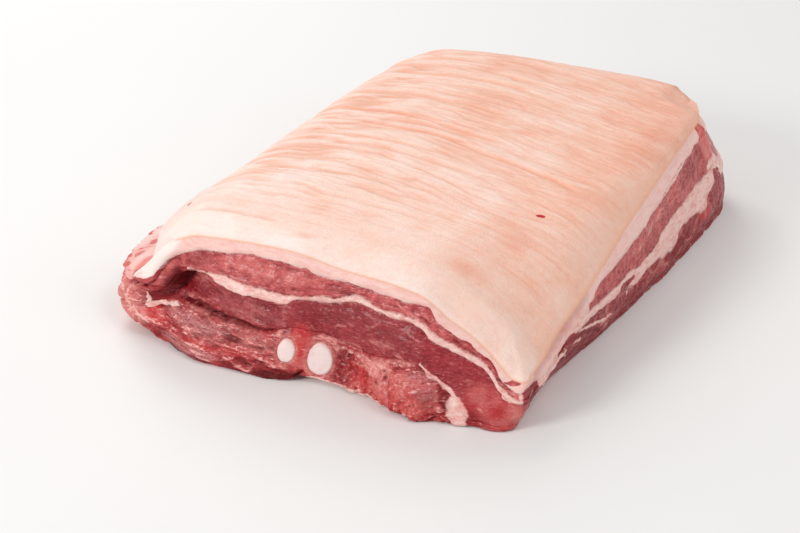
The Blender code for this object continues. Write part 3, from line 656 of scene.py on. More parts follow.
    right_back = (
        Stroke(LEAN, 4, ((1.349, 13), (1.4, 15), (1.44, 15)), 0.7, 2.0),
        Stroke(FAT, 0.8, ((1.409, 10.6), (1.443, 12.4))),
        Stroke(PALE, 1.6, ((1.463, 22), (1.486, 24))),
        Stroke(PALE, 1.6, ((1.517, 24.4), (1.551, 26.8))),
        Stroke(PALE, 1.6, ((1.56, 25.8), (1.594, 28.5))),
        Stroke(LACE, 6, ((1.45, 24), (1.58, 26.5), (1.7, 30), (1.8, 32)), 0.7, 3.0, 0.8),
        Stroke(LEAN, 1.3, ((1.571, 31.3), (1.662, 34.4), (1.776, 36.8)), 0.55),
        # Painted shade: darker along the foot of the right side, where it meets the floor.
        Stroke(DARK, 6, ((1.25, 1), (1.5, 1.5), (1.75, 1.5), (1.95, 2)), 0.35, 5.0, 1.0),
        Stroke(LEAN, 11, ((1.85, 39.5), (1.86, 34), (1.885, 27)), 1.0, 1.5, 0.6),
        Stroke(BRIGHT, 11, ((1.85, 39.5), (1.86, 34), (1.885, 27)), 1.0, 3.0, 0.7),
        Stroke(PALE, 4, ((1.84, 39.5), (1.855, 38.5)), 0.6, 2.0),
        Stroke(BRIGHT, 5, ((1.78, 10), (1.83, 9)), 0.9, 3.0),
        Stroke(DARK, 6, ((1.61, 7), (1.72, 9)), 0.3, 3.0),
        Stroke(DARK, 7, ((1.7, 28.5), (1.84, 32.5)), 0.25, 4.0),
        Stroke(DARK, 5, ((1.66, 8), (1.72, 9)), 0.35, 3.0),
        Stroke(DARK, 5, ((1.42, 7), (1.48, 7)), 0.3, 3.0),
        Stroke(FAT, 5, ((1.85, 24.5), (1.9, 24), (1.93, 21))),
        Stroke(LEAN, 8, ((1.875, 20), (1.9, 16), (1.915, 12))),
    )
    left_fold = (
        Stroke(LEAN, 2.6, ((3.86, 22.4), (3.885, 21.6), (3.9, 20.8)), 0.8, 1.8),
        Stroke(BRIGHT, 4.5, ((3.86, 22.4), (3.885, 21.6), (3.92, 20)), 0.8),
        Stroke(CREAM, 1.5, ((3.868, 20.4), (3.882, 19.6), (3.905, 19.2)), 0.9),
    )

    @classmethod
    def strokes(cls) -> tuple[Stroke, ...]:
        """All streaks in the order they are drawn."""
        return (cls.lobes + cls.hollow + cls.crease + cls.flap + cls.ribs + cls.lump
                + cls.corner_fat + cls.inner_meat + cls.outer_meat + cls.right_front
                + cls.right_back + cls.left_fold)

    @staticmethod
    def ground(wall: Wall, level: int) -> Array:
        """The fat mark before any streak: 1 in fat, 0 in lean, 0.5 on a border.

        The mark changes by a third for each millimetre from the border, so the
        borders of neighbouring layers meet and are made ragged alike.

        Args:
            wall: the wall painted on.
            level: the wall's layer, from 0 (lowest lean) to 4 (rind and fat).

        Returns:
            The mark at every wall point.
        """
        heights = FORM.heights(wall.place)
        is_fat = level in (2, 4)
        depth = np.full(wall.height.shape, 9.0)
        for border in (level, level + 1):
            if border in (2, 3, 4):
                depth = np.minimum(depth, np.abs(wall.height - heights[border][None, :]))
        share = np.minimum(depth / 3.0, 0.5)
        return 0.5 + share if is_fat else 0.5 - share

    @classmethod
    def paint(cls, wall: Wall, level: int) -> dict[str, Array]:
        """All marks of a wall.

        Fat and lean are laid one over another; the shades keep the strongest.
        """
        wander = np.stack([0.5 * Grain(seed).layers(wall.flat / 3.0, 2) for seed in (61, 62)])
        shades = (BRIGHT, PALE, DARK, MAUVE, COMB, LACE, CREAM, ROSY)
        marks = {kind.value: np.zeros(wall.height.shape) for kind in shades}
        fat = cls.ground(wall, level)
        border, zone = Relief.lobes(wall)[1:]
        fat = fat * (1 - zone) + zone * np.clip(border, 0, 1)
        rings = sum(near(rib.away(wall), 0.4, 1.5) * (wall.points[..., 1] < 0) for rib in RIBS)
        marks["pale"] = np.maximum(zone * 0.65, np.maximum(Relief.bundles(wall)[1] * 0.6,
                                                           rings * 0.55))
        marks["bright"] = zone * 0.7
        marks["rosy"] = zone * 0.35
        # the crest mark lets the shader paint crests lighter and troughs darker: painted highlight and
        # painted shade
        marks["crest"] = np.clip(0.5 + 0.5 * wall.detail, 0, 1)
        for stroke in cls.strokes():
            cover = stroke.cover(wall, wander)
            if stroke.kind is FAT:
                fat = np.maximum(fat, cover)
            elif stroke.kind is LEAN:
                fat = np.minimum(fat, 1 - cover)
            else:
                marks[stroke.kind.value] = np.maximum(marks[stroke.kind.value], cover)
        return {"fat": fat, **marks}


class Mesher:
    """Puts numpy surfaces into Blender meshes in the slab's frame."""

    @staticmethod
    def to_frame(points: Array) -> Array:
        """Slab millimetres to frame metres."""
        return (points - MIDDLE) * 0.001

    @staticmethod
    def ring_quads(rows: int, count: int) -> tuple[Array, Array]:
        """Quads between stacked closed rings.

        Returns:
            Corner indices of each quad, and which column each corner lies in,
            counted on past the last column where a quad closes the ring.
        """
        row, col = np.meshgrid(np.arange(rows - 1), np.arange(count), indexing="ij")
        row, col = row.ravel(), col.ravel()
        wrap = (col + 1) % count
        quads = np.stack([row * count + col, row * count + wrap,
                          (row + 1) * count + wrap, (row + 1) * count + col], axis=1)
        return quads, np.stack([col, col + 1, col + 1, col], axis=1)

    @staticmethod
    def piece(name: str, points: Array, quads: Array, tris: Array, uv: Array,
              marks: dict[str, Array]) -> bpy.types.Object:
        """One smooth-shaded closed mesh object.

        Args:
            name: the piece's name.
            points: vertices in slab millimetres.
            quads: four-cornered faces.
            tris: three-cornered faces.
            uv: two numbers for each corner of each face, quads first, in metres.
            marks: named numbers from 0 to 1 at each vertex.

        Returns:
            The linked object.
        """
        mesh = bpy.data.meshes.new(name)
        corners = np.concatenate([quads.ravel(), tris.ravel()]).astype(np.int32)
        sizes = np.concatenate([np.full(len(quads), 4), np.full(len(tris), 3)])
        mesh.vertices.add(len(points))
        mesh.vertices.foreach_set("co", Mesher.to_frame(points).astype(np.float32).ravel())
        mesh.loops.add(len(corners))
        mesh.loops.foreach_set("vertex_index", corners)
        mesh.polygons.add(len(sizes))
        starts = np.concatenate([[0], np.cumsum(sizes)[:-1]]).astype(np.int32)
        mesh.polygons.foreach_set("loop_start", starts)
        mesh.polygons.foreach_set("use_smooth", np.ones(len(sizes), bool))
        layer = mesh.uv_layers.new(name="Wall")
        layer.data.foreach_set("uv", uv.astype(np.float32).ravel())
        for key, values in marks.items():
            slot = mesh.attributes.new(key, 'FLOAT', 'POINT')
            slot.data.foreach_set("value", np.clip(values, 0, 1).astype(np.float32).ravel())
        mesh.update(calc_edges=True)
        mesh.validate()
        made = bpy.data.objects.new(name, mesh)
        bpy.context.scene.collection.objects.link(made)
        return made


@dataclass(frozen=True)
class Value:
    """A number or colour inside a material; arithmetic on it adds Math nodes."""

    tree: "Tree"
    socket: Any

    def _math(self, operation: str, *terms: Any, clamp: bool = False) -> "Value":
        """One Math node over this value and others."""
        made = self.tree.node("ShaderNodeMath", {"operation": operation, "use_clamp": clamp},
                              dict(enumerate(terms)))
        return Value(self.tree, made.outputs[0])

    def __add__(self, other: Any) -> "Value":
        """This plus other."""
        return self._math('ADD', self, other)

    def __radd__(self, other: Any) -> "Value":
        """Other plus this."""
        return self._math('ADD', other, self)

    def __sub__(self, other: Any) -> "Value":
        """This less other."""
        return self._math('SUBTRACT', self, other)

    def __rsub__(self, other: Any) -> "Value":
        """Other less this."""
        return self._math('SUBTRACT', other, self)

    def __mul__(self, other: Any) -> "Value":
        """This times other."""
        return self._math('MULTIPLY', self, other)

    def __rmul__(self, other: Any) -> "Value":
        """Other times this."""
        return self._math('MULTIPLY', other, self)

    def __truediv__(self, other: Any) -> "Value":
        """This over other."""
        return self._math('DIVIDE', self, other)

    def __pow__(self, other: Any) -> "Value":
        """This to the power of other."""
        return self._math('POWER', self, other)

    def high(self, other: Any) -> "Value":
        """The larger of the two."""
        return self._math('MAXIMUM', self, other)

    def low(self, other: Any) -> "Value":
        """The smaller of the two."""
        return self._math('MINIMUM', self, other)

    def held(self) -> "Value":
        """This kept between 0 and 1."""
        return self._math('ADD', self, 0.0, clamp=True)

    def size(self) -> "Value":
        """This without its sign."""
        return self._math('ABSOLUTE', self)

    def step(self, low: float, high: float) -> "Value":
        """Smooth step of this from low to high."""
        made = self.tree.node("ShaderNodeMapRange", {"interpolation_type": 'SMOOTHSTEP'},
                              {0: self, 1: low, 2: high, 3: 0.0, 4: 1.0})
        return Value(self.tree, made.outputs[0])


def srgb(red: float, green: float, blue: float) -> tuple[float, float, float, float]:
    """A colour given as 0-255 screen values, in linear light."""
    def linear(part: float) -> float:
        """One channel: the screen curve undone."""
        part = part / 255.0
        return part / 12.92 if part <= 0.04045 else ((part + 0.055) / 1.055) ** 2.4
    return (linear(red), linear(green), linear(blue), 1.0)


class Tree:
    """A material's node tree, built from expressions."""

    def __init__(self, name: str) -> None:
        """Starts an empty material."""
        self.material = bpy.data.materials.new(name)
        self.material.use_nodes = True
        self.material.node_tree.nodes.clear()

    def node(self, kind: str, settings: dict[str, Any], inputs: dict[Any, Any]) -> Any:
        """Adds a node: its settings first, then the values or links of its inputs."""
        made = self.material.node_tree.nodes.new(kind)
        for key, value in settings.items():
            setattr(made, key, value)
        for key, value in inputs.items():
            if isinstance(value, Value):
                self.material.node_tree.links.new(value.socket, made.inputs[key])
            else:
                made.inputs[key].default_value = value
        return made

    def coords(self, which: str = "Object") -> Value:
        """Object or UV coordinates of the piece."""
        return Value(self, self.node("ShaderNodeTexCoord", {}, {}).outputs[which])

    def mark(self, name: str) -> Value:
        """A number kept at the vertices."""
        made = self.node("ShaderNodeAttribute", {"attribute_name": name}, {})
        return Value(self, made.outputs["Fac"])

    def placed(self, vector: Value, scale: Sequence[float], turn: float = 0.0) -> Value:
        """Coordinates turned about Z by degrees, then scaled."""
        spun = vector
        if turn:
            made = self.node("ShaderNodeMapping", {}, {"Vector": vector,
                                                       "Rotation": (0, 0, math.radians(turn))})
            spun = Value(self, made.outputs[0])
        made = self.node("ShaderNodeMapping", {}, {"Vector": spun, "Scale": tuple(scale)})
        return Value(self, made.outputs[0])

    def noise(self, vector: Value, scale: float, detail: float = 3.0, rough: float = 0.5,
              bend: float = 0.0) -> Value:
        """Noise from 0 to 1, `scale` waves to the metre."""
        made = self.node("ShaderNodeTexNoise", {}, {"Vector": vector, "Scale": scale,
                                                    "Detail": detail, "Roughness": rough,
                                                    "Distortion": bend})
        return Value(self, made.outputs["Fac"])

    def cells(self, vector: Value, scale: float, feature: str = 'F1', random: float = 1.0) -> Value:
        """Distance to scattered seeds, `scale` cells to the metre."""
        made = self.node("ShaderNodeTexVoronoi", {"feature": feature},
                         {"Vector": vector, "Scale": scale, "Randomness": random})
        return Value(self, made.outputs["Distance"])

    def mix(self, share: Any, first: Any, second: Any) -> Value:
        """First colour blended towards the second."""
        made = self.node("ShaderNodeMix", {"data_type": 'RGBA', "clamp_factor": True},
                         {0: share, 6: first, 7: second})
        return Value(self, made.outputs[2])

    def shades(self, value: Value, steps: Sequence[tuple[float, tuple]]) -> Value:
        """A colour that passes through several (number, colour) steps as the value rises."""
        colour: Any = steps[0][1]
        for (low, _), (high, shade) in zip(steps, steps[1:]):
            colour = self.mix(((value - low) / (high - low)).held(), colour, shade)
        return colour

    def bump(self, height: Value, strength: float, depth: float, under: Value | None = None) -> Value:
        """A bump of `depth` metres."""
        inputs: dict[Any, Any] = {"Height": height, "Strength": strength, "Distance": depth}
        if under is not None:
            inputs["Normal"] = under
        return Value(self, self.node("ShaderNodeBump", {}, inputs).outputs[0])

    def shade(self, colour: Value, rough: Any, normal: Value, constants: dict[str, Any]) -> Any:
        """Closes the material with one principled shader."""
        shader = self.node("ShaderNodeBsdfPrincipled", {},
                           {"Base Color": colour, "Roughness": rough, "Normal": normal,
                            **constants})
        self.node("ShaderNodeOutputMaterial", {}, {"Surface": Value(self, shader.outputs[0])})
        return self.material


@dataclass(frozen=True)
class Flesh:
    """Cut meat and fat: the lean's own colours, and what all walls share."""

    deep: tuple = srgb(132, 20, 28)
    middle: tuple = srgb(190, 66, 68)
    bright: tuple = srgb(210, 52, 52)
    pale: tuple = srgb(232, 150, 142)
    mauve: tuple = srgb(200, 134, 134)
    fat: tuple = srgb(246, 206, 197)
    fat_warm: tuple = srgb(228, 150, 140)
    # painted shade in hollows, creases and at the foot, and the dark red of dark dashes and dark tissue
    shade_and_dark_red: tuple = srgb(84, 0, 4)
    # painted shade in the troughs of the relief
    groove_shade: tuple = srgb(110, 6, 14)
    cream: tuple = srgb(253, 236, 228)
    rosy: tuple = srgb(226, 112, 104)
    glint: tuple = srgb(246, 186, 178)
    fibre: tuple[float, float] = (430.0, 1300.0)
    dashes: float = 0.55
    glints: float = 0.85
    warmth: float = 0.75

    def look(self, tree: Tree) -> tuple[Value, Value, Value]:
        """Paints cut meat and fat.

        Lean follows the relief's crests and noise stretched along the fibres: it is
        lighter on the crests, a painted highlight, and darker in the troughs, painted
        shade, with short pale dashes at the crests and dark ones in the troughs of a
        finer noise, and painted glints of wet highlight on the crests.  The dark mark
        lays painted shade in hollows, creases and at the foot, and the dark red of
        dark tissue elsewhere.  The fat mark is sharpened after fine noise is added,
        for ragged borders.

        Args:
            tree: the material being made.

        Returns:
            Colour, share of fat, and height of the fine relief.
        """
        wall, body = tree.coords("UV"), tree.coords("Object")
        strand = tree.noise(tree.placed(wall, (*self.fibre, 1.0)), 1.0, 4.0, 0.6, 0.5)
        dash = tree.noise(tree.placed(wall, (self.fibre[0] * 1.3, self.fibre[1] * 1.5, 1.0)),
                          1.0, 2.0, 0.5, 0.3)
        patch = tree.noise(body, 110.0, 3.0, 0.55)
        grain = tree.noise(body, 1300.0, 2.0, 0.6)
        crest = tree.mark("crest")
        # Lean tone from fibres and patches, lighter on the relief's crests as a painted highlight.
        lean = tree.mix((strand * 0.4 + patch * 0.3 + crest * 0.3).step(0.38, 0.62), self.deep,
                        self.middle)
        lean = tree.mix((0.40 - dash).step(0.0, 0.10) * 0.55, lean, self.shade_and_dark_red)
        light = tree.mix(patch.step(0.4, 0.65) * 0.45, self.bright, self.pale)
        lean = tree.mix(tree.mark("bright") * (0.5 + strand * 0.7), lean, light)
        lean = tree.mix(tree.mark("mauve") * grain.step(0.25, 0.6), lean, self.mauve)
        lean = tree.mix(tree.mark("pale") * (0.35 + strand.step(0.35, 0.6) * 0.65), lean,
                        self.pale)
        lean = tree.mix((dash + crest * 0.2).step(0.68, 0.80) * self.dashes, lean, self.pale)
        lean = tree.mix((0.46 - grain).step(0.0, 0.2) * 0.35, lean, self.deep)
        # Painted shade: darker in the relief's troughs.
        lean = tree.mix((0.40 - crest).step(0.0, 0.4) * 0.7, lean, self.groove_shade)
        shine = tree.noise(tree.placed(wall, (330.0, 1500.0, 1.0)), 1.0, 3.0, 0.6, 1.2)
        lean = tree.mix((shine + crest * 0.35).step(0.79, 0.89) * self.glints, lean, self.glint)
        comb = tree.noise(tree.placed(wall, (1400.0, 330.0, 1.0)), 1.0, 2.0, 0.5, 0.3)
        lace = 1.0 - tree.cells(body, 290.0, 'DISTANCE_TO_EDGE').step(0.02, 0.12)
        lean = tree.mix(tree.mark("comb") * comb.step(0.5, 0.62) * 0.35, lean, self.pale)
        lean = tree.mix(tree.mark("lace") * lace * 0.55, lean, self.pale)
        edge = (tree.mark("fat") + (patch - 0.5) * 0.35 + (grain - 0.5) * 0.3
                + (strand - 0.5) * 0.45)
        fat_here = edge.step(0.37, 0.65)
        vein = tree.noise(tree.placed(wall, (120.0, 420.0, 1.0)), 1.0, 4.0, 0.6, 0.8)
        fat = tree.mix((strand * 0.4 + vein * 0.6).step(0.42, 0.64) * self.warmth, self.fat,
                       self.fat_warm)
        fat = tree.mix(tree.mark("cream") * (0.8 + strand * 0.3), fat, self.cream)
        fat = tree.mix(tree.mark("rosy") * (0.5 + patch * 0.6), fat, self.rosy)
        colour = tree.mix(fat_here, lean, fat)
        # The dark mark: painted shade in hollows, creases and at the foot, and the dark red of dark
        # tissue elsewhere.
        colour = tree.mix(tree.mark("dark") * (0.75 + patch * 0.4), colour, self.shade_and_dark_red)
        return colour, fat_here, strand * 0.9 + dash * 0.5 + grain * 0.35


@dataclass(frozen=True)
class MeatFinish:
    """Raw meat under a wet film."""

    name: str
    flesh: Flesh = Flesh()
    gloss: float = 0.3
    relief: float = 0.00045

    def make(self) -> bpy.types.Material:
        """Builds the material: cut flesh with fine relief and a thin wet coat."""
        tree = Tree(self.name)
        colour, fat_here, height = self.flesh.look(tree)
        patch = tree.noise(tree.coords("Object"), 160.0, 2.0, 0.5)
        dark = tree.mark("dark")
        rough = self.gloss + (patch - 0.5) * 0.3 + fat_here * 0.12 + dark * 0.4
        return tree.shade(colour, rough, tree.bump(height, 0.8, self.relief),
                          {"Subsurface Weight": 0.1, "Subsurface Radius": (1.0, 0.35, 0.25),
                           "Subsurface Scale": 0.0012, "IOR": 1.4, "Specular IOR Level": 0.28,
                           "Coat Weight": (1.0 - dark) * 0.13, "Coat Roughness": 0.1})


@dataclass(frozen=True)
class SkinFinish:
    """Pale pig skin above, its cut fat below."""

    name: str = "skin_and_fat"
    flesh: Flesh = Flesh(middle=srgb(200, 92, 94), deep=srgb(164, 58, 62),
                         fat_warm=srgb(238, 178, 168), warmth=0.7)
    white: tuple = srgb(253, 231, 222)
    cream: tuple = srgb(251, 213, 198)
    peach: tuple = srgb(247, 195, 173)
    tan: tuple = srgb(238, 170, 146)
    # The crease colour is the creases' own oranger tone darkened by painted shade; the ridge colour is a
    # painted highlight on the wrinkles' ridges.
    crease: tuple = srgb(238, 170, 140)
    ridge_highlight: tuple = srgb(254, 230, 215)
    blush: tuple = srgb(238, 158, 132)
    line: tuple = srgb(242, 178, 142)
    nick: tuple = srgb(196, 46, 56)
    fleck: tuple = srgb(206, 134, 96)

    def skin(self, tree: Tree) -> tuple[Value, Value]:
        """Paints the skin.

        The tone rises with the `warm` mark and mottling through four shades;
        wrinkles are darker in their creases, partly their own oranger tone and
        partly painted shade, and lighter on their ridges as a painted highlight.

        Args:
            tree: the material being made.

        Returns:
            Colour and height of the fine relief.
        """
        body, flow = tree.coords("Object"), tree.coords("UV")
        mottle = tree.noise(body, 75.0, 4.0, 0.65)
        fine = tree.noise(body, 420.0, 3.0, 0.6)
        lines = tree.noise(tree.placed(flow, (70.0, 420.0, 1.0)), 1.0, 3.0, 0.55, 0.3)
        hair = tree.noise(tree.placed(flow, (160.0, 1300.0, 1.0)), 1.0, 2.0, 0.5, 0.2)
        tone = (tree.mark("warm") + (mottle - 0.5) * 0.6 + (fine - 0.5) * 0.4
                + (0.5 - lines) * 0.14)
        colour = tree.shades(tone, ((0.0, self.white), (0.33, self.cream), (0.66, self.peach),
                                    (1.0, self.tan)))
        valley = tree.mark("valley")
        # Painted shade in the wrinkles' creases, on top of their oranger tone, and a painted highlight on
        # their ridges.
        colour = tree.mix((valley * 2.0 - 1.0).held() * (0.55 + mottle * 0.5), colour, self.crease)
        colour = tree.mix((1.0 - valley * 2.0).held() * 0.75, colour, self.ridge_highlight)
        colour = tree.mix(tree.mark("blush") * (0.3 + mottle), colour, self.blush)
        speck = (0.13 - tree.cells(body, 230.0)).step(0.0, 0.07)
        colour = tree.mix(speck * (0.18 + tree.mark("freckle")), colour, self.fleck)
        colour = tree.mix(tree.mark("nick").step(0.4, 0.6), colour, self.nick)
        pores = tree.cells(body, 850.0).step(0.0, 0.5)
        return colour, lines * 1.0 + hair * 0.5 + pores * 0.6 + fine * 0.4

    def make(self) -> bpy.types.Material:
        """Builds the material: skin where the `skin` mark is high, cut flesh elsewhere."""
        tree = Tree(self.name)
        colour, height = self.skin(tree)
        cut, fat_here, cut_height = self.flesh.look(tree)
        skin = tree.mark("skin").step(0.35, 0.65)
        colour = tree.mix(skin, cut, colour)
        colour = tree.mix(tree.mark("rim") * 0.75, colour, self.line)
        relief = height * skin + cut_height * (1.0 - skin) * 0.8
        rough = 0.36 + skin * 0.12 + (tree.noise(tree.coords("Object"), 90.0) - 0.5) * 0.2
        return tree.shade(colour, rough, tree.bump(relief, 0.5, 0.0004),
                          {"Subsurface Weight": 0.22, "Subsurface Radius": (1.0, 0.45, 0.3),
                           "Subsurface Scale": 0.002, "IOR": 1.4, "Specular IOR Level": 0.2})


@dataclass(frozen=True)
class CartilageFinish:
    """Milky cut cartilage with a faint rosy rim."""

    name: str = "cartilage"
    milk: tuple = srgb(243, 222, 218)
    rosy: tuple = srgb(232, 178, 170)

    def make(self) -> bpy.types.Material:
        """Builds the material: soft mottling, smooth and slightly wet."""
        tree = Tree(self.name)
        body = tree.coords("Object")
        cloud = tree.noise(body, 380.0, 3.0, 0.5)
        colour = tree.mix(cloud.step(0.45, 0.75) * 0.4 + tree.mark("rim") * 0.6, self.milk,
                          self.rosy)
        grain = tree.bump(tree.noise(body, 1400.0, 2.0, 0.6), 0.25, 0.0002)
        return tree.shade(colour, 0.34 + (cloud - 0.5) * 0.1, grain,
                          {"Subsurface Weight": 0.25, "Subsurface Radius": (1.0, 0.6, 0.5),
                           "Subsurface Scale": 0.002, "IOR": 1.45})


def rides(piece: bpy.types.Object, node: str, material: bpy.types.Material) -> None:
    """Dresses a piece and lets it stand for its CAD node."""
    piece.data.materials.append(material)
    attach(piece, "root")
    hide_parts(node)
    LOG.info("%s: %d faces", piece.name, len(piece.data.polygons))


class Relief:
    """The uneven form of the cut walls, in millimetres outwards."""

    @staticmethod
    def lobes(wall: Wall) -> tuple[Array, Array, Array]:
        """Plump lobes at the front left corner: swelling, their borders, and where they are."""
        far, high = wall.flat[..., 0], wall.flat[..., 1]
        bent = pair(far + 2.4 * Grain(17).layers(wall.flat / 6.0, 2),
                    high + 2.4 * Grain(7).layers(wall.flat / 6.0, 2))
        first, second, size = Grain(14).cells(pair(bent[..., 0] / 5.0, bent[..., 1] / 4.2))
        gap = wall.gap(0.0)
        top = 21.5 + 5.0 * ease((-0.03 - gap) / 0.03)
        zone = ease((gap + 0.3) / 0.2) * ease((0.05 - gap) / 0.03) * ease((top - high) / 3.0)
        edge = ease((second - first) / 0.5)
        return zone * (1.9 * edge - 0.6) * (0.5 + 0.8 * size), 1.05 - 1.6 * edge, zone

    @staticmethod
    def bundles(wall: Wall) -> tuple[Array, Array]:
        """Meat bundles low on the right side: their swelling, and the pale lines between."""
        far, high = wall.flat[..., 0], wall.flat[..., 1]
        bent = wall.flat + 2.5 * Grain(19).wave(wall.flat / 9.0)[..., None]
        slant = bent[..., 1] - 0.35 * bent[..., 0]
        first, second, _ = Grain(20).cells(pair(bent[..., 0] / 15.0, slant / 5.5))
        zone = between(wall.gap(1.0), 0.12, 0.93, 0.1) * ease((17.0 - high) / 5.0)
        edge = ease((second - first) / 0.22)
        return zone * (0.7 * edge - 0.3), zone * (1 - edge)

    @staticmethod
    def common(wall: Wall) -> Array:
        """What all layers share: gentle waves, the lobes and the bundles."""
        waves = 0.45 * Grain(5).layers(wall.flat / 16.0, 3) + 0.12 * Grain(6).layers(wall.flat / 3.2, 2)
        return waves + Relief.lobes(wall)[0] + Relief.bundles(wall)[0]

    @staticmethod
    def streaks(marks: dict[str, Array]) -> Array:
        """Fat stands a little proud of the lean, and dark creases lie deeper."""
        return 0.35 * (marks["fat"] - 0.5) - 0.45 * marks["dark"] + 0.12 * marks["pale"]

    @staticmethod
    def fibres(wall: Wall, seed: int, long: float, across: float, slant: float) -> Array:
        """Noise stretched along the fibres, which climb by `slant` for each millimetre."""
        far, high = wall.flat[..., 0], wall.flat[..., 1]
        return Grain(seed).layers(pair(far / long, (high + slant * far) / across), 2)


@dataclass
class Layer:
    """One layer of the slab under the skin: lower boundary, cut wall, upper boundary."""

    name: str
    node: str
    slot: str
    level: int
    rows: int
    finish: MeatFinish
    inset_low: Table = ((0.0, 0.0), (2.0, 0.0))
    inset_high: Table = ((0.0, 0.0), (2.0, 0.0))
    fullness: float = 1.0
    lift: Table = ((0.0, 0.8), (0.04, 0.6), (0.1, 0.0), (0.42, 0.0), (0.475, 1.0), (0.49, 2.6),
                   (0.5, 2.3), (0.56, 1.5), (0.62, 0.8), (0.7, 0.2), (0.84, 0.2), (0.89, 0.6),
                   (0.93, 0.0), (2.0, 0.0), (3.5, 0.0), (3.85, 0.6))
    columns: tuple[int, ...] = (520, 420, 110, 230)
    inner: tuple[float, ...] = (0.995, 0.98, 0.94, 0.85, 0.65, 0.35)

    def places(self) -> Array:
        """Places of the columns, from the walk's start, close together where seen closely."""
        walk = np.concatenate([side + np.arange(count) / count
                               for side, count in enumerate(self.columns)])
        return np.sort(np.mod(walk - WALK_START, 4)) + WALK_START

    def boundary(self, level: int, place: Array, inset: Table, reach: float = 1.0) -> Array:
        """A ring of a level, set in from the wall by some millimetres and then by `reach`."""
        if level == 0:
            foot = FORM.edge_line(0, place) * np.array([reach, reach, 1.0])
            scallop = 0.8 * np.abs(Grain(16).wave(pair(FORM.walked(place) / 3.4, place * 0)))
            lift = around(self.lift, place) + scallop * between(place, 0.58, 0.86, 0.04)
            foot[:, 2] += lift * ease((reach - 0.85) / 0.14)
            return foot
        whole = FORM.edge_line(level, place)
        size = np.maximum(np.sum(whole[:, :2] * FORM.outward(place), axis=1), 30.0)
        return FORM.ring(level, place, (1.0 - around(inset, place) / size) * reach)

    def own_relief(self, wall: Wall) -> Array:
        """The layer's own relief in millimetres, faded out at its borders afterwards.

        It also notes in `wall.detail` how far each point is a crest (1) or a trough (-1);
        the walls are painted lighter on crests and darker in troughs from it, as
        painted highlight and painted shade.
        """
        return wall.detail * 0.2

    def shape(self, wall: Wall) -> Array:
        """Everything by which the wall stands out from the straight line foot to top."""
        up = wall.up[:, None]
        swell = np.sin(np.pi * up) ** self.fullness * around(FORM.swells[self.level], wall.place)
        own = self.own_relief(wall)
        fade = (ease(up / 0.1) if self.level else 1.0) * ease((1 - up) / 0.1)
        wall.detail = wall.detail * fade
        return swell + Relief.common(wall) + own * fade

    def wall(self) -> Wall:
        """The cut wall: straight from foot to top, swollen, with its relief."""
        place = self.places()
        up = np.linspace(0.0, 1.0, self.rows)
        low = self.boundary(self.level, place, self.inset_low)
        high = self.boundary(self.level + 1, place, self.inset_high)
        points = low[None] * (1 - up)[:, None, None] + high[None] * up[:, None, None]
        wall = Wall(place, up, points, FORM.walked(place))
        relief = self.shape(wall)
        wall.marks = Tissue.paint(wall, self.level)
        wall.push(relief + Relief.streaks(wall.marks))
        return wall

    def build(self) -> Wall:
        """Makes the layer's closed mesh, dresses it and returns its wall."""
        wall = self.wall()
        count = len(wall.place)
        below = [self.boundary(self.level, wall.place, self.inset_low, reach)
                 for reach in self.inner[::-1]]
        above = [self.boundary(self.level + 1, wall.place, self.inset_high, reach)
                 for reach in self.inner]
        loops = np.stack(below + list(wall.points) + above)
        poles = np.stack([loops[0].mean(axis=0), loops[-1].mean(axis=0)])
        points = np.concatenate([loops.reshape(-1, 3), poles])
        quads, columns = Mesher.ring_quads(len(loops), count)
        ids = np.arange(count)
        last = (len(loops) - 1) * count
        tris = np.concatenate([
            np.stack([np.full(count, len(points) - 2), (ids + 1) % count, ids], axis=1),
            np.stack([np.full(count, len(points) - 1), last + ids, last + (ids + 1) % count],
                     axis=1)])
        end = FORM.walked(np.array([WALK_START - 1e-6]))[0]
        far = np.concatenate([wall.walked, [wall.walked[0] + end]])
        rise = points[:, 2]
        uv_quads = np.stack([far[columns], rise[quads]], axis=-1)
        mid = far[np.stack([ids, ids + 1, ids], axis=1)]
        uv_tris = np.concatenate([np.stack([mid, rise[part]], axis=-1)
                                  for part in (tris[:count], tris[count:])])
        uv = np.concatenate([uv_quads.reshape(-1, 2), uv_tris.reshape(-1, 2)]) * 0.001
        marks = {}
        for key, values in wall.marks.items():
            whole = np.concatenate([np.tile(values[0], (len(below), 1)), values,
                                    np.tile(values[-1], (len(above), 1))]).ravel()
            marks[key] = np.concatenate([whole, [values[0].mean(), values[-1].mean()]])
        piece = Mesher.piece(self.name, points, quads, tris, uv, marks)
        rides(piece, self.node, self.finish.make())
        return wall


